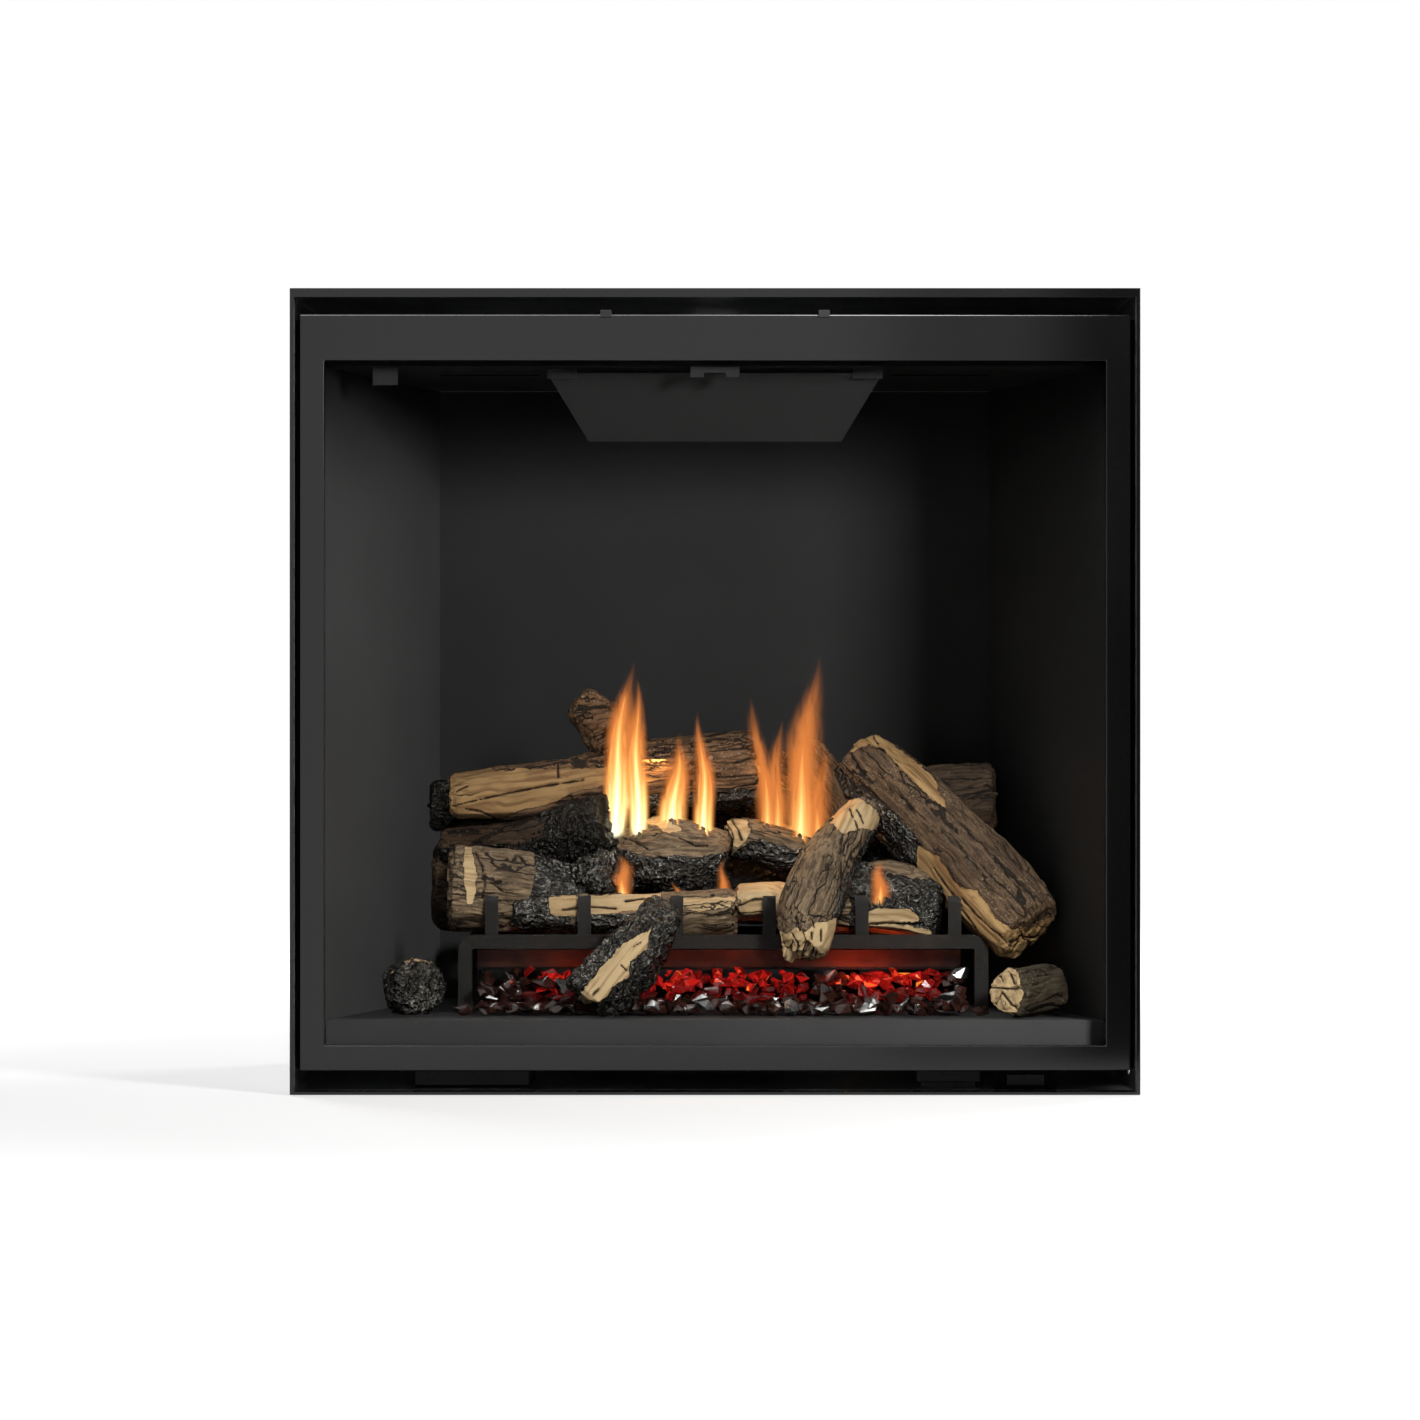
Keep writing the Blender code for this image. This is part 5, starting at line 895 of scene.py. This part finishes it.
def log_effect():
    """The hand-painted casting: three paints that the log's masks place, and cracks filled with dark wash."""
    tree, given, ends = effect(
        "painted_log", bark=(0.12, 0.075, 0.045, 1), shade=(0.04, 0.023, 0.013, 1),
        wood=(0.46, 0.29, 0.125, 1), stain=(0.24, 0.125, 0.048, 1), cracked=0.0,
    )
    tree.interface.new_socket("Metal", in_out="OUTPUT", socket_type="NodeSocketFloat")
    grain, wooden = kept(tree, "grain", "Vector"), kept(tree, "wood")

    def stretched(where, stretch):
        return add(tree, "Mapping", {"Vector": where, "Scale": (1, 1, stretch)}).outputs[0]

    def speckle(scale, stretch, detail=5.0):
        return mottle(tree, scale, detail, stretched(grain, stretch))

    def moved(way, operation, other):
        return add(tree, "VectorMath", {0: way, **other}, operation=operation).outputs[0]

    curl = add(tree, "TexNoise", {"Vector": grain, "Scale": 110.0, "Detail": 2.0}).outputs["Color"]
    curl = moved(moved(curl, "SUBTRACT", {1: (0.5, 0.5, 0.5)}), "SCALE", {"Scale": 0.006})
    curled = moved(grain, "ADD", {1: curl})

    def lines(scale, stretch, width, broken):
        """Dark lines between long cells, that come and go. A cracked log shows more of them."""
        inputs = {"Vector": stretched(curled, stretch), "Scale": scale}
        gap = add(tree, "TexVoronoi", inputs, feature="DISTANCE_TO_EDGE").outputs["Distance"]
        more = calc(tree, "ADD", speckle(scale * 0.45, stretch * 1.6, 2.0), given["cracked"])
        shown = stepped(tree, more, broken - 0.05, broken + 0.05)
        return times(tree, stepped(tree, gap, width * 0.35, width, 1.0, 0.0), shown)

    def crease(scale, stretch, detail):
        return calc(tree, "ABSOLUTE", calc(tree, "SUBTRACT", speckle(scale, stretch, detail), 0.5))

    fine, fibres, slow, crumbs = (
        speckle(*sizes) for sizes in ((330.0, 0.12), (190.0, 0.05), (22.0, 0.5), (420.0, 1.0))
    )
    bark_lines = calc(tree, "MAXIMUM", lines(66.0, 0.085, 0.065, 0.51), lines(150.0, 0.1, 0.075, 0.54))
    bark = mixed(tree, stepped(tree, fine, 0.36, 0.62), given["shade"], given["bark"])
    bark = mixed(tree, stepped(tree, slow, 0.4, 0.7, 0.0, 0.45), bark, given["shade"])
    # Light flecks: partly dry-brushed paint, partly painted highlight.
    flecks_and_highlights = times(tree, stepped(tree, crumbs, 0.58, 0.68), stepped(tree, slow, 0.4, 0.6, 0.8, 0.25))
    bark = mixed(tree, flecks_and_highlights, bark, FLECK_AND_HIGHLIGHT)
    wood = mixed(tree, stepped(tree, fibres, 0.33, 0.58), given["stain"], given["wood"])
    wood = mixed(tree, stepped(tree, slow, 0.48, 0.7, 0.0, 0.75), wood, given["stain"])
    crinkle, folds = crease(95.0, 0.7, 3.0), crease(210.0, 0.8, 2.0)
    ridge = stepped(tree, crinkle, 0.0, 0.05, 1.0, 0.0)
    # Silver on the char's ridges: partly dry-brushed paint, partly a painted highlight.
    char = mixed(tree, times(tree, ridge, stepped(tree, slow, 0.35, 0.6, 0.35, 1.0)), CHAR, CHAR_RIDGE_HIGHLIGHT)
    edge = times(tree, calc(tree, "SUBTRACT", fine, 0.5), 0.8)
    woody = stepped(tree, calc(tree, "ADD", wooden, edge), 0.44, 0.56)
    charred = stepped(tree, calc(tree, "ADD", kept(tree, "char"), edge), 0.4, 0.6)
    # Dark rim round the split wood, where it steps below the bark: partly dark wash, partly painted shade.
    wash_and_rim_shade = times(tree, stepped(tree, wooden, 0.1, 0.3), stepped(tree, wooden, 0.4, 0.55, 1.0, 0.0))
    colour = mixed(tree, woody, mixed(tree, charred, bark, char), wood)
    around = mixed(tree, woody, bark_lines, lines(60.0, 0.07, 0.03, 0.6))
    around = times(tree, around, calc(tree, "SUBTRACT", 1.0, charred))
    gaps = mixed(tree, kept(tree, "end"), around, lines(80.0, 0.1, 0.055, 0.47))
    gaps = calc(tree, "MAXIMUM", calc(tree, "MAXIMUM", gaps, kept(tree, "crack")), times(tree, wash_and_rim_shade, 0.7))
    colour = mixed(tree, times(tree, stepped(tree, gaps, 0.2, 0.75), 0.94), colour, WASH)
    # Painted shade from the mask kept above.
    colour = mixed(tree, times(tree, kept(tree, "soot"), 0.85), colour, PAINTED_LOG_SHADE)
    roughness = mixed(tree, charred, (0.8, 0.8, 0.8, 1), (0.22, 0.22, 0.22, 1))
    plain_height = calc(tree, "ADD", times(tree, fine, 0.5), times(tree, crumbs, 0.25))
    char_height = calc(tree, "ADD", times(tree, crinkle, -8.0), times(tree, folds, -3.5))
    height = mixed(tree, charred, plain_height, char_height)
    put_out(tree, ends, colour, roughness, calc(tree, "SUBTRACT", height, times(tree, gaps, 0.9)))
    fed(tree, ends, {"Metal": times(tree, charred, 0.7)})
    return tree


CREAM = {"wood": (0.6, 0.43, 0.23, 1), "stain": (0.36, 0.23, 0.11, 1)}
BARKS = {
    "taupe": {"bark": (0.145, 0.088, 0.047, 1), "shade": (0.05, 0.029, 0.016, 1), "cracked": -0.03},
    "brown": {
        "bark": (0.175, 0.094, 0.044, 1), "shade": (0.055, 0.028, 0.013, 1),
        "wood": (0.34, 0.205, 0.085, 1), "stain": (0.18, 0.095, 0.038, 1),
    },
    "grey": {"bark": (0.26, 0.18, 0.104, 1), "shade": (0.085, 0.055, 0.031, 1), "cracked": -0.045, **CREAM},
    "cracked": {"bark": (0.245, 0.17, 0.098, 1), "shade": (0.075, 0.049, 0.027, 1), "cracked": 0.02, **CREAM},
    # A darker copy of the grey bark: painted shade for a log that stands in shade.
    "in_shade": {
        "bark": (0.08, 0.06, 0.036, 1), "shade": (0.035, 0.026, 0.016, 1), "cracked": -0.03,
        **CREAM, "stain": (0.4, 0.27, 0.14, 1),
    },
}
painted_log = log_effect()
barks = {}
for name, values in BARKS.items():
    made = material(name + "_cast_log", painted_log, values, {"Specular IOR Level": 0.12}, 0.002)
    nodes = made.node_tree.nodes
    fed(made.node_tree, nodes["Principled BSDF"].inputs, {"Metallic": nodes["Group"].outputs["Metal"]})
    barks[name] = made
for log in LOGS:
    charred = "char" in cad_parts[log.node].data.materials[0].name
    slot = "log_char" if charred else "log_bark"
    fitted(cast_log(log), barks[log.bark], "firebox", slot, log.node)


# Glass embers
# Crushed smoky glass lies on the burner's front step, two or three chips deep. The back rows glow red in
# patches from the burner behind them, and a few chips are silvered.

CHIP_KINDS = 9
CHIP_CORNERS = 10
CHIP_SIZE = (0.0145, 0.0105, 0.0085)
CHIP_STEP = 0.0142
BED_RISE = -0.003
GLOW_PATCHES = ((-0.178, 0.03), (-0.05, 0.04), (0.05, 0.06), (0.163, 0.016), (0.212, 0.042))
PEBBLES = (
    ((-0.0065, -0.156, 0.0905), 1.1, 1), ((0.165, -0.157, 0.088), 1.0, 1), ((0.115, -0.158, 0.086), 0.8, 1),
    ((-0.188, -0.128, 0.106), 1.7, 0), ((-0.166, -0.124, 0.108), 1.3, 0), ((-0.07, -0.16, 0.089), 0.8, 1),
    ((-0.283, -0.16, 0.084), 0.7, 0), ((-0.276, -0.148, 0.084), 0.8, 0), ((0.292, -0.158, 0.084), 0.8, 0),
)
SMOKE = (0.09, 0.03, 0.02, 1)
EMBER_RED = (0.12, 0.006, 0.005, 1)
SILVER = (0.42, 0.41, 0.4, 1)
GLOW_DARK, GLOW_RED, GLOW_ORANGE = (0.006, 0.001, 0.001, 1), (0.75, 0.016, 0.012, 1), (1.0, 0.27, 0.03, 1)

chance = random.Random(11)


def chip_pattern():
    """A shard: the hull of a few scattered corners, its edges ground a little."""
    shape = bmesh.new()
    for _ in range(CHIP_CORNERS):
        corner = Vector([chance.gauss(0, 1) for _ in range(3)]).normalized()
        shape.verts.new([corner[k] * CHIP_SIZE[k] * chance.uniform(0.75, 1) for k in range(3)])
    bmesh.ops.convex_hull(shape, input=shape.verts)
    bmesh.ops.delete(shape, geom=[corner for corner in shape.verts if not corner.link_faces])
    edges = shape.edges[:] + shape.verts[:]
    bmesh.ops.bevel(shape, geom=edges, offset=0.0003, segments=1, affect="EDGES")
    mesh = bpy.data.meshes.new("chip_pattern")
    shape.to_mesh(mesh)
    shape.free()
    return mesh


def glass_material(name, colour, values):
    """Glass whose tint changes from chip to chip."""
    made, tree, surface = shader(name)
    darker = tuple(value * 0.35 for value in colour[:3]) + (1,)
    tint = mixed(tree, stepped(tree, mottle(tree, 60.0, 3.0), 0.35, 0.65), darker, colour)
    fed(tree, surface, {"Base Color": tint, **values})
    return made


def lit_from_behind(made):
    """Adds the burner's glow to glass, each facet by its own share, the brightest of them orange."""
    tree = made.node_tree
    glow, facet = kept(tree, "glow"), kept(tree, "facet")
    level = times(tree, glow, stepped(tree, facet, 0.25, 1.0, 0.05, 1.0))
    hot = times(tree, stepped(tree, facet, 0.9, 0.96), stepped(tree, glow, 0.55, 0.8))
    colour = mixed(tree, level, GLOW_DARK, GLOW_RED)
    fed(tree, tree.nodes["Principled BSDF"].inputs, {
        "Emission Color": mixed(tree, hot, colour, GLOW_ORANGE), "Emission Strength": 1.0,
    })


def glow_at(x, share):
    """How much the burner lights a chip at this place: in patches, and more towards the back."""
    patch = max(1 - ((x - middle) / half) ** 2 for middle, half in GLOW_PATCHES)
    deep = min(max((share - 0.42) / 0.35, 0), 1)
    return deep * (0.06 + 0.94 * max(patch, 0) ** 0.7) * chance.uniform(0.3, 1)


low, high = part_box("ember_bed")
chips = [chip_pattern() for _ in range(CHIP_KINDS)]
smoky, glowing, silvered, glows = [], [], [], []
width, depth, rise = (end - start for start, end in zip(low, high))
rows, columns = math.ceil(depth / (CHIP_STEP * 0.75)), math.ceil(width / CHIP_STEP)
for row in range(rows):
    share = (row + 0.5) / rows
    for column in range(columns):
        x = low.x + (column + chance.uniform(0.1, 0.9)) * width / columns
        y = low.y + share * depth + chance.uniform(-0.3, 0.3) * CHIP_STEP
        z = low.z + share * (rise + BED_RISE) - chance.uniform(0.0, 0.008)
        x = min(max(x, low.x + CHIP_SIZE[0]), high.x - CHIP_SIZE[0])
        y = min(max(y, low.y + CHIP_SIZE[0]), high.y - CHIP_SIZE[1])
        turn = Matrix.Rotation(chance.uniform(0, math.tau), 4, "Z")
        tilt = Matrix.Rotation(chance.uniform(-0.9, 0.9), 4, "X")
        roll = Matrix.Rotation(chance.uniform(-0.6, 0.6), 4, "Y")
        size = Matrix.Scale(chance.uniform(0.55, 1.15), 4)
        place = Matrix.Translation((x, y, max(z, low.z + CHIP_SIZE[2]))) @ turn @ (tilt @ roll) @ size
        glow = glow_at(x, share)
        if glow > 0.05:
            glowing.append(place)
            glows.append(glow)
        elif chance.random() < 0.05:
            silvered.append(place)
        else:
            smoky.append(place)
for point, size, silver in PEBBLES:
    place = Matrix.Translation(point) @ Matrix.Rotation(chance.uniform(0, 3), 4, "X") @ Matrix.Scale(size, 4)
    (silvered if silver else smoky).append(place)
clear = {"Transmission Weight": 0.6, "Roughness": 0.04, "IOR": 1.5}
smoky_glass = glass_material("smoky_glass", SMOKE, clear)
glowing_glass = glass_material("glowing_glass", EMBER_RED, clear)
lit_from_behind(glowing_glass)
silver_glass = glass_material("silvered_glass", SILVER, {"Metallic": 0.9, "Roughness": 0.3})
fitted(repeated("smoky_embers", chips, smoky), smoky_glass, "firebox", "ember_glass", "ember_bed")
embers = repeated("glowing_embers", chips, glowing)
counts = [len(chips[k % CHIP_KINDS].vertices) for k in range(len(glowing))]
keep(embers.data, glow=np.repeat(glows, counts))
facets = embers.data.attributes.new("facet", "FLOAT", "FACE")
shares = np.random.default_rng(5).random(len(embers.data.polygons))
facets.data.foreach_set("value", shares.astype(np.float32))
fitted(embers, glowing_glass, "firebox", "ember_glass")
fitted(repeated("silvered_embers", chips, silvered), silver_glass, "firebox", "ember_glass")


# Flames
# Gas flames stand on the burner's ports behind and between the logs: white-yellow at the root, orange and
# thin at the tip. Each is three crossed sheets of light, so it holds its shape from every side.

FLAME_ROWS, FLAME_COLUMNS = 24, 10
BLACK = (0, 0, 0, 1)
FLAME_COLOURS = (
    (0.24, (1, 0.93, 0.66, 1)), (0.5, (1, 0.72, 0.3, 1)), (0.76, (0.86, 0.36, 0.09, 1)),
    (1.0, (0.5, 0.15, 0.035, 1)),
)
FLAMES = (
    ((-0.112, -0.038, 0.268), 0.019, 0.205, 0.09, 1.0),
    ((-0.086, -0.042, 0.268), 0.015, 0.186, -0.02, 1.0),
    ((-0.099, -0.030, 0.300), 0.021, 0.140, 0.04, 0.2),
    ((-0.048, -0.040, 0.262), 0.020, 0.130, 0.10, 1.0),
    ((-0.012, -0.045, 0.250), 0.015, 0.165, -0.03, 0.9),
    ((0.060, -0.024, 0.256), 0.016, 0.176, -0.12, 0.25),
    ((0.070, -0.020, 0.256), 0.015, 0.150, 0.02, 0.25),
    ((0.096, -0.022, 0.252), 0.026, 0.226, 0.09, 0.35),
    ((0.116, -0.020, 0.252), 0.018, 0.130, 0.06, 0.1),
    ((-0.103, -0.076, 0.205), 0.015, 0.050, 0.0, 0.1),
    ((-0.041, -0.076, 0.190), 0.006, 0.034, -0.1, 0.1),
    ((0.008, -0.070, 0.188), 0.009, 0.062, 0.05, 0.1),
    ((0.183, -0.100, 0.196), 0.014, 0.054, 0.02, 0.15),
)


def flame_mesh(number, root, half_width, height, lean, warmth):
    """Three crossed leaf-shaped sheets that sway a little as they rise."""
    corners, faces, rises, edges = [], [], [], []
    across_count = FLAME_COLUMNS + 1
    for sheet in range(3):
        turn = math.pi * sheet / 3
        start = len(corners)
        for row in range(FLAME_ROWS + 1):
            rise = row / FLAME_ROWS
            width = half_width * math.sin(math.pi * (0.3 + 0.7 * rise) ** 1.2) ** 0.8 + 0.0002
            width *= 1 + 0.12 * math.sin(11 * rise + 2 * number) * rise
            sway = lean * height * rise**2 + 0.004 * math.sin(8 * rise + number) * rise
            for column in range(across_count):
                across = 2 * column / FLAME_COLUMNS - 1
                x = root[0] + sway + across * width * math.cos(turn)
                y = root[1] + across * width * math.sin(turn)
                corners.append((x, y, root[2] + height * rise))
                rises.append(rise)
                edges.append(abs(across))
        for row in range(FLAME_ROWS):
            for column in range(FLAME_COLUMNS):
                a = start + row * across_count + column
                faces.append((a, a + 1, a + 1 + across_count, a + across_count))
    mesh = bpy.data.meshes.new("flame")
    mesh.from_pydata(corners, [], faces)
    keep(mesh, rise=rises, edge=edges, warmth=[warmth] * len(corners))
    return mesh


def flame_material():
    """Light that thins out towards the tip and the edges. A warm flame has a white core at its root."""
    made, tree, surface = shader("flame_light")
    rise, edge, warmth = (kept(tree, name) for name in ("rise", "edge", "warmth"))
    drawn_up = add(tree, "Mapping", {"Vector": own_place(tree), "Scale": (1, 1, 0.18)}).outputs[0]
    wisps = mottle(tree, 130.0, 3.0, drawn_up)
    cool = calc(tree, "ADD", times(tree, rise, 1.15), times(tree, edge, 0.7))
    cool = calc(tree, "ADD", cool, times(tree, calc(tree, "SUBTRACT", 1.0, warmth), 0.55))
    colours = add(tree, "ValToRGB", {"Fac": cool})
    stops = colours.color_ramp.elements
    while len(stops) < len(FLAME_COLOURS):
        stops.new(0.5)
    for stop, (position, shade) in zip(stops, FLAME_COLOURS):
        stop.position, stop.color = position, shade
    inner, root = stepped(tree, edge, 0.2, 1.0, 1.0, 0.0), stepped(tree, rise, 0.0, 0.1)
    tip = stepped(tree, rise, 0.35, 1.0, 1.0, 0.0)
    torn = stepped(tree, calc(tree, "ADD", wisps, times(tree, rise, -0.2)), 0.2, 0.45, 0.4, 1.0)
    body = times(tree, times(tree, inner, root), times(tree, tip, torn))
    body = times(tree, body, stepped(tree, warmth, 0.0, 1.0, 0.6, 1.6))
    core = times(tree, stepped(tree, cool, 0.15, 0.6, 1.0, 0.0), warmth)
    alpha = calc(tree, "MINIMUM", calc(tree, "ADD", body, times(tree, core, root)), 1.0)
    fed(tree, surface, {
        "Base Color": BLACK, "Specular IOR Level": 0.0, "Alpha": alpha,
        "Emission Color": colours.outputs["Color"], "Emission Strength": 1.7,
    })
    return made


patterns = [flame_mesh(number, *flame) for number, flame in enumerate(FLAMES)]
flames = repeated("flames", patterns, [Matrix.Identity(4)] * len(FLAMES))
fitted(flames, flame_material(), "firebox", "ember_glass")
bpy.data.objects.remove(screw)


# Floor, lamps and camera
# A plain white floor and soft keys from the front right, one each for the logs, the walls and the rest. A
# graded card and a high lamp that only gloss and glass see shape the face's sheen and light the chips. The
# logs throw no shadow on the walls, and the rear lamps alone light the zinc-coated casing.

PIXEL = 0.0010747
IMAGE = 1420
DISTANCE = 4.57
CAMERA_X, CAMERA_Z = -0.0054, 0.4138
SENSOR = 36
FLOOR_HALF = 20
SHADOW_REACH = 0.8
FILL = 0.08
CARD_CENTRE = (0, -0.65, 1.1)
CARD_WIDTH, CARD_HEIGHT = 3.0, 2.2
CARD_STEPS = ((0.13, 0.27, 1.07, 0.6), (0.34, 0.465, 1.0, 0.0), (-0.5, -0.38, 0.95, 1.0))
WHITE = (1, 1, 1, 1)
CENTRE = Vector((0, 0, 0.38))


def lamp(name, place, aim, size, power, colour=(1, 1, 1), tall=None):
    """A soft rectangular lamp that looks at a point."""
    data = bpy.data.lights.new(name, "AREA")
    data.shape = "RECTANGLE"
    data.size = size
    data.size_y = tall or size
    data.energy = power
    data.color = colour
    obj = placed(name, data)
    obj.location = place
    obj.rotation_euler = (Vector(aim) - Vector(place)).to_track_quat("-Z", "Y").to_euler()
    obj.visible_camera = obj.visible_transmission = False
    return obj


def seen_white(tree):
    """1 for the rays that see the surroundings, as themselves or in glass and gloss."""
    path = add(tree, "LightPath").outputs
    seen = calc(tree, "MAXIMUM", path["Is Camera Ray"], path["Is Glossy Ray"])
    return calc(tree, "MAXIMUM", seen, path["Is Transmission Ray"])


world = bpy.data.worlds.new("studio")
bpy.context.scene.world = world
world.use_nodes = True
tree = world.node_tree
fed(tree, tree.nodes["Background"].inputs, {
    "Color": WHITE, "Strength": stepped(tree, seen_white(tree), 0.0, 1.0, FILL, 1.0),
})

floor = started("floor", bpy.ops.mesh.primitive_plane_add, size=2 * FLOOR_HALF, location=(0, 0, -0.0006))
pale, tree, surface = shader("pale_floor")
away = add(tree, "VectorMath", {0: own_place(tree)}, operation="LENGTH").outputs["Value"]
glow = times(tree, seen_white(tree), stepped(tree, away, SHADOW_REACH, SHADOW_REACH + 1, 0.6, 1.0))
fed(tree, surface, {
    "Base Color": (0.5, 0.5, 0.5, 1), "Roughness": 0.9, "Specular IOR Level": 0.0,
    "Emission Color": WHITE, "Emission Strength": glow,
})
floor.data.materials.append(pale)

card = started("card", bpy.ops.mesh.primitive_plane_add, size=1, location=CARD_CENTRE)
card.scale = (CARD_WIDTH, CARD_HEIGHT, 1)
card.rotation_euler = (math.radians(90), 0, 0)
card.visible_camera = card.visible_diffuse = card.visible_shadow = False
graded, tree, surface = shader("graded_card")
across = add(tree, "SeparateXYZ", {0: add(tree, "NewGeometry").outputs["Position"]}).outputs["X"]
level = stepped(tree, across, *CARD_STEPS[0])
for step in CARD_STEPS[1:]:
    level = times(tree, level, stepped(tree, across, *step))
fed(tree, surface, {
    "Base Color": BLACK, "Specular IOR Level": 0.0, "Emission Color": WHITE, "Emission Strength": level,
})
card.data.materials.append(graded)

key = lamp("key", (1.2, -1.75, 1.1), (0, -0.02, 0.4), 0.34, 46)
log_key = lamp("log_key", (0.3, -2.1, 1.15), (0, -0.05, 0.25), 0.34, 42)
wall_key = lamp("wall_key", (1.3, -1.75, 1.1), (0, -0.02, 0.4), 0.42, 48)


def group(name, *members, excluded=False):
    """A collection for light linking, whose members are lit or shaded by the lamp, or left out."""
    made = bpy.data.collections.new(name)
    for member in members:
        made.objects.link(member)
    if excluded:
        for entry in made.collection_objects:
            entry.light_linking.link_state = "EXCLUDE"
    return made


walls = [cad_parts["firebox_" + side] for side in ("back", "left", "right", "ceiling", "floor")]
cast = [bpy.data.objects[log.node + "_cast"] for log in LOGS]
wall_key.light_linking.receiver_collection = group("walls", *walls)
not_logs = group("not_logs", *cast, bpy.data.objects["baffle_folded"], excluded=True)
wall_key.light_linking.blocker_collection = not_logs
log_key.light_linking.receiver_collection = group("logs", *cast)
plated = [obj for obj in bpy.context.scene.objects if obj.type == "MESH" and zinc in obj.data.materials[:]]
key.light_linking.receiver_collection = group("all_the_rest", *walls, *cast, *plated, excluded=True)
high_card = lamp("high_card", (0, -0.65, 1.73), (0, 0, 1.73), 3.0, 195, tall=0.95)
high_card.visible_diffuse, high_card.visible_transmission = False, True
high_card.light_linking.receiver_collection = group("not_outside", *plated, surround, excluded=True)
for side in (-1, 1):
    lamp("rear_lamp", (side * 2.0, 2.2, 1.8), CENTRE, 1.4, 60).visible_glossy = False
for x, power in ((-0.15, 0.02), (0.0, 0.035), (0.17, 0.08)):
    lamp("ember_light", (x, -0.118, 0.118), (x, 0.2, 0.16), 0.08, power, (1, 0.1, 0.02), tall=0.01)
for x, y in ((-0.08, -0.03), (0.08, -0.02)):
    lamp("flame_glow", (x, y, 0.36), (x, -0.1, 0.2), 0.05, 0.3, (1, 0.55, 0.2))

view = bpy.data.cameras.new("camera")
view.sensor_width = SENSOR
view.lens = SENSOR * DISTANCE / (IMAGE * PIXEL)
camera = placed("camera", view)
camera.location = (CAMERA_X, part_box("surround_frame")[0].y - DISTANCE, CAMERA_Z)
camera.rotation_euler = (math.radians(90), 0, 0)
bpy.context.scene.camera = camera
bpy.context.scene.view_settings.view_transform = "Standard"
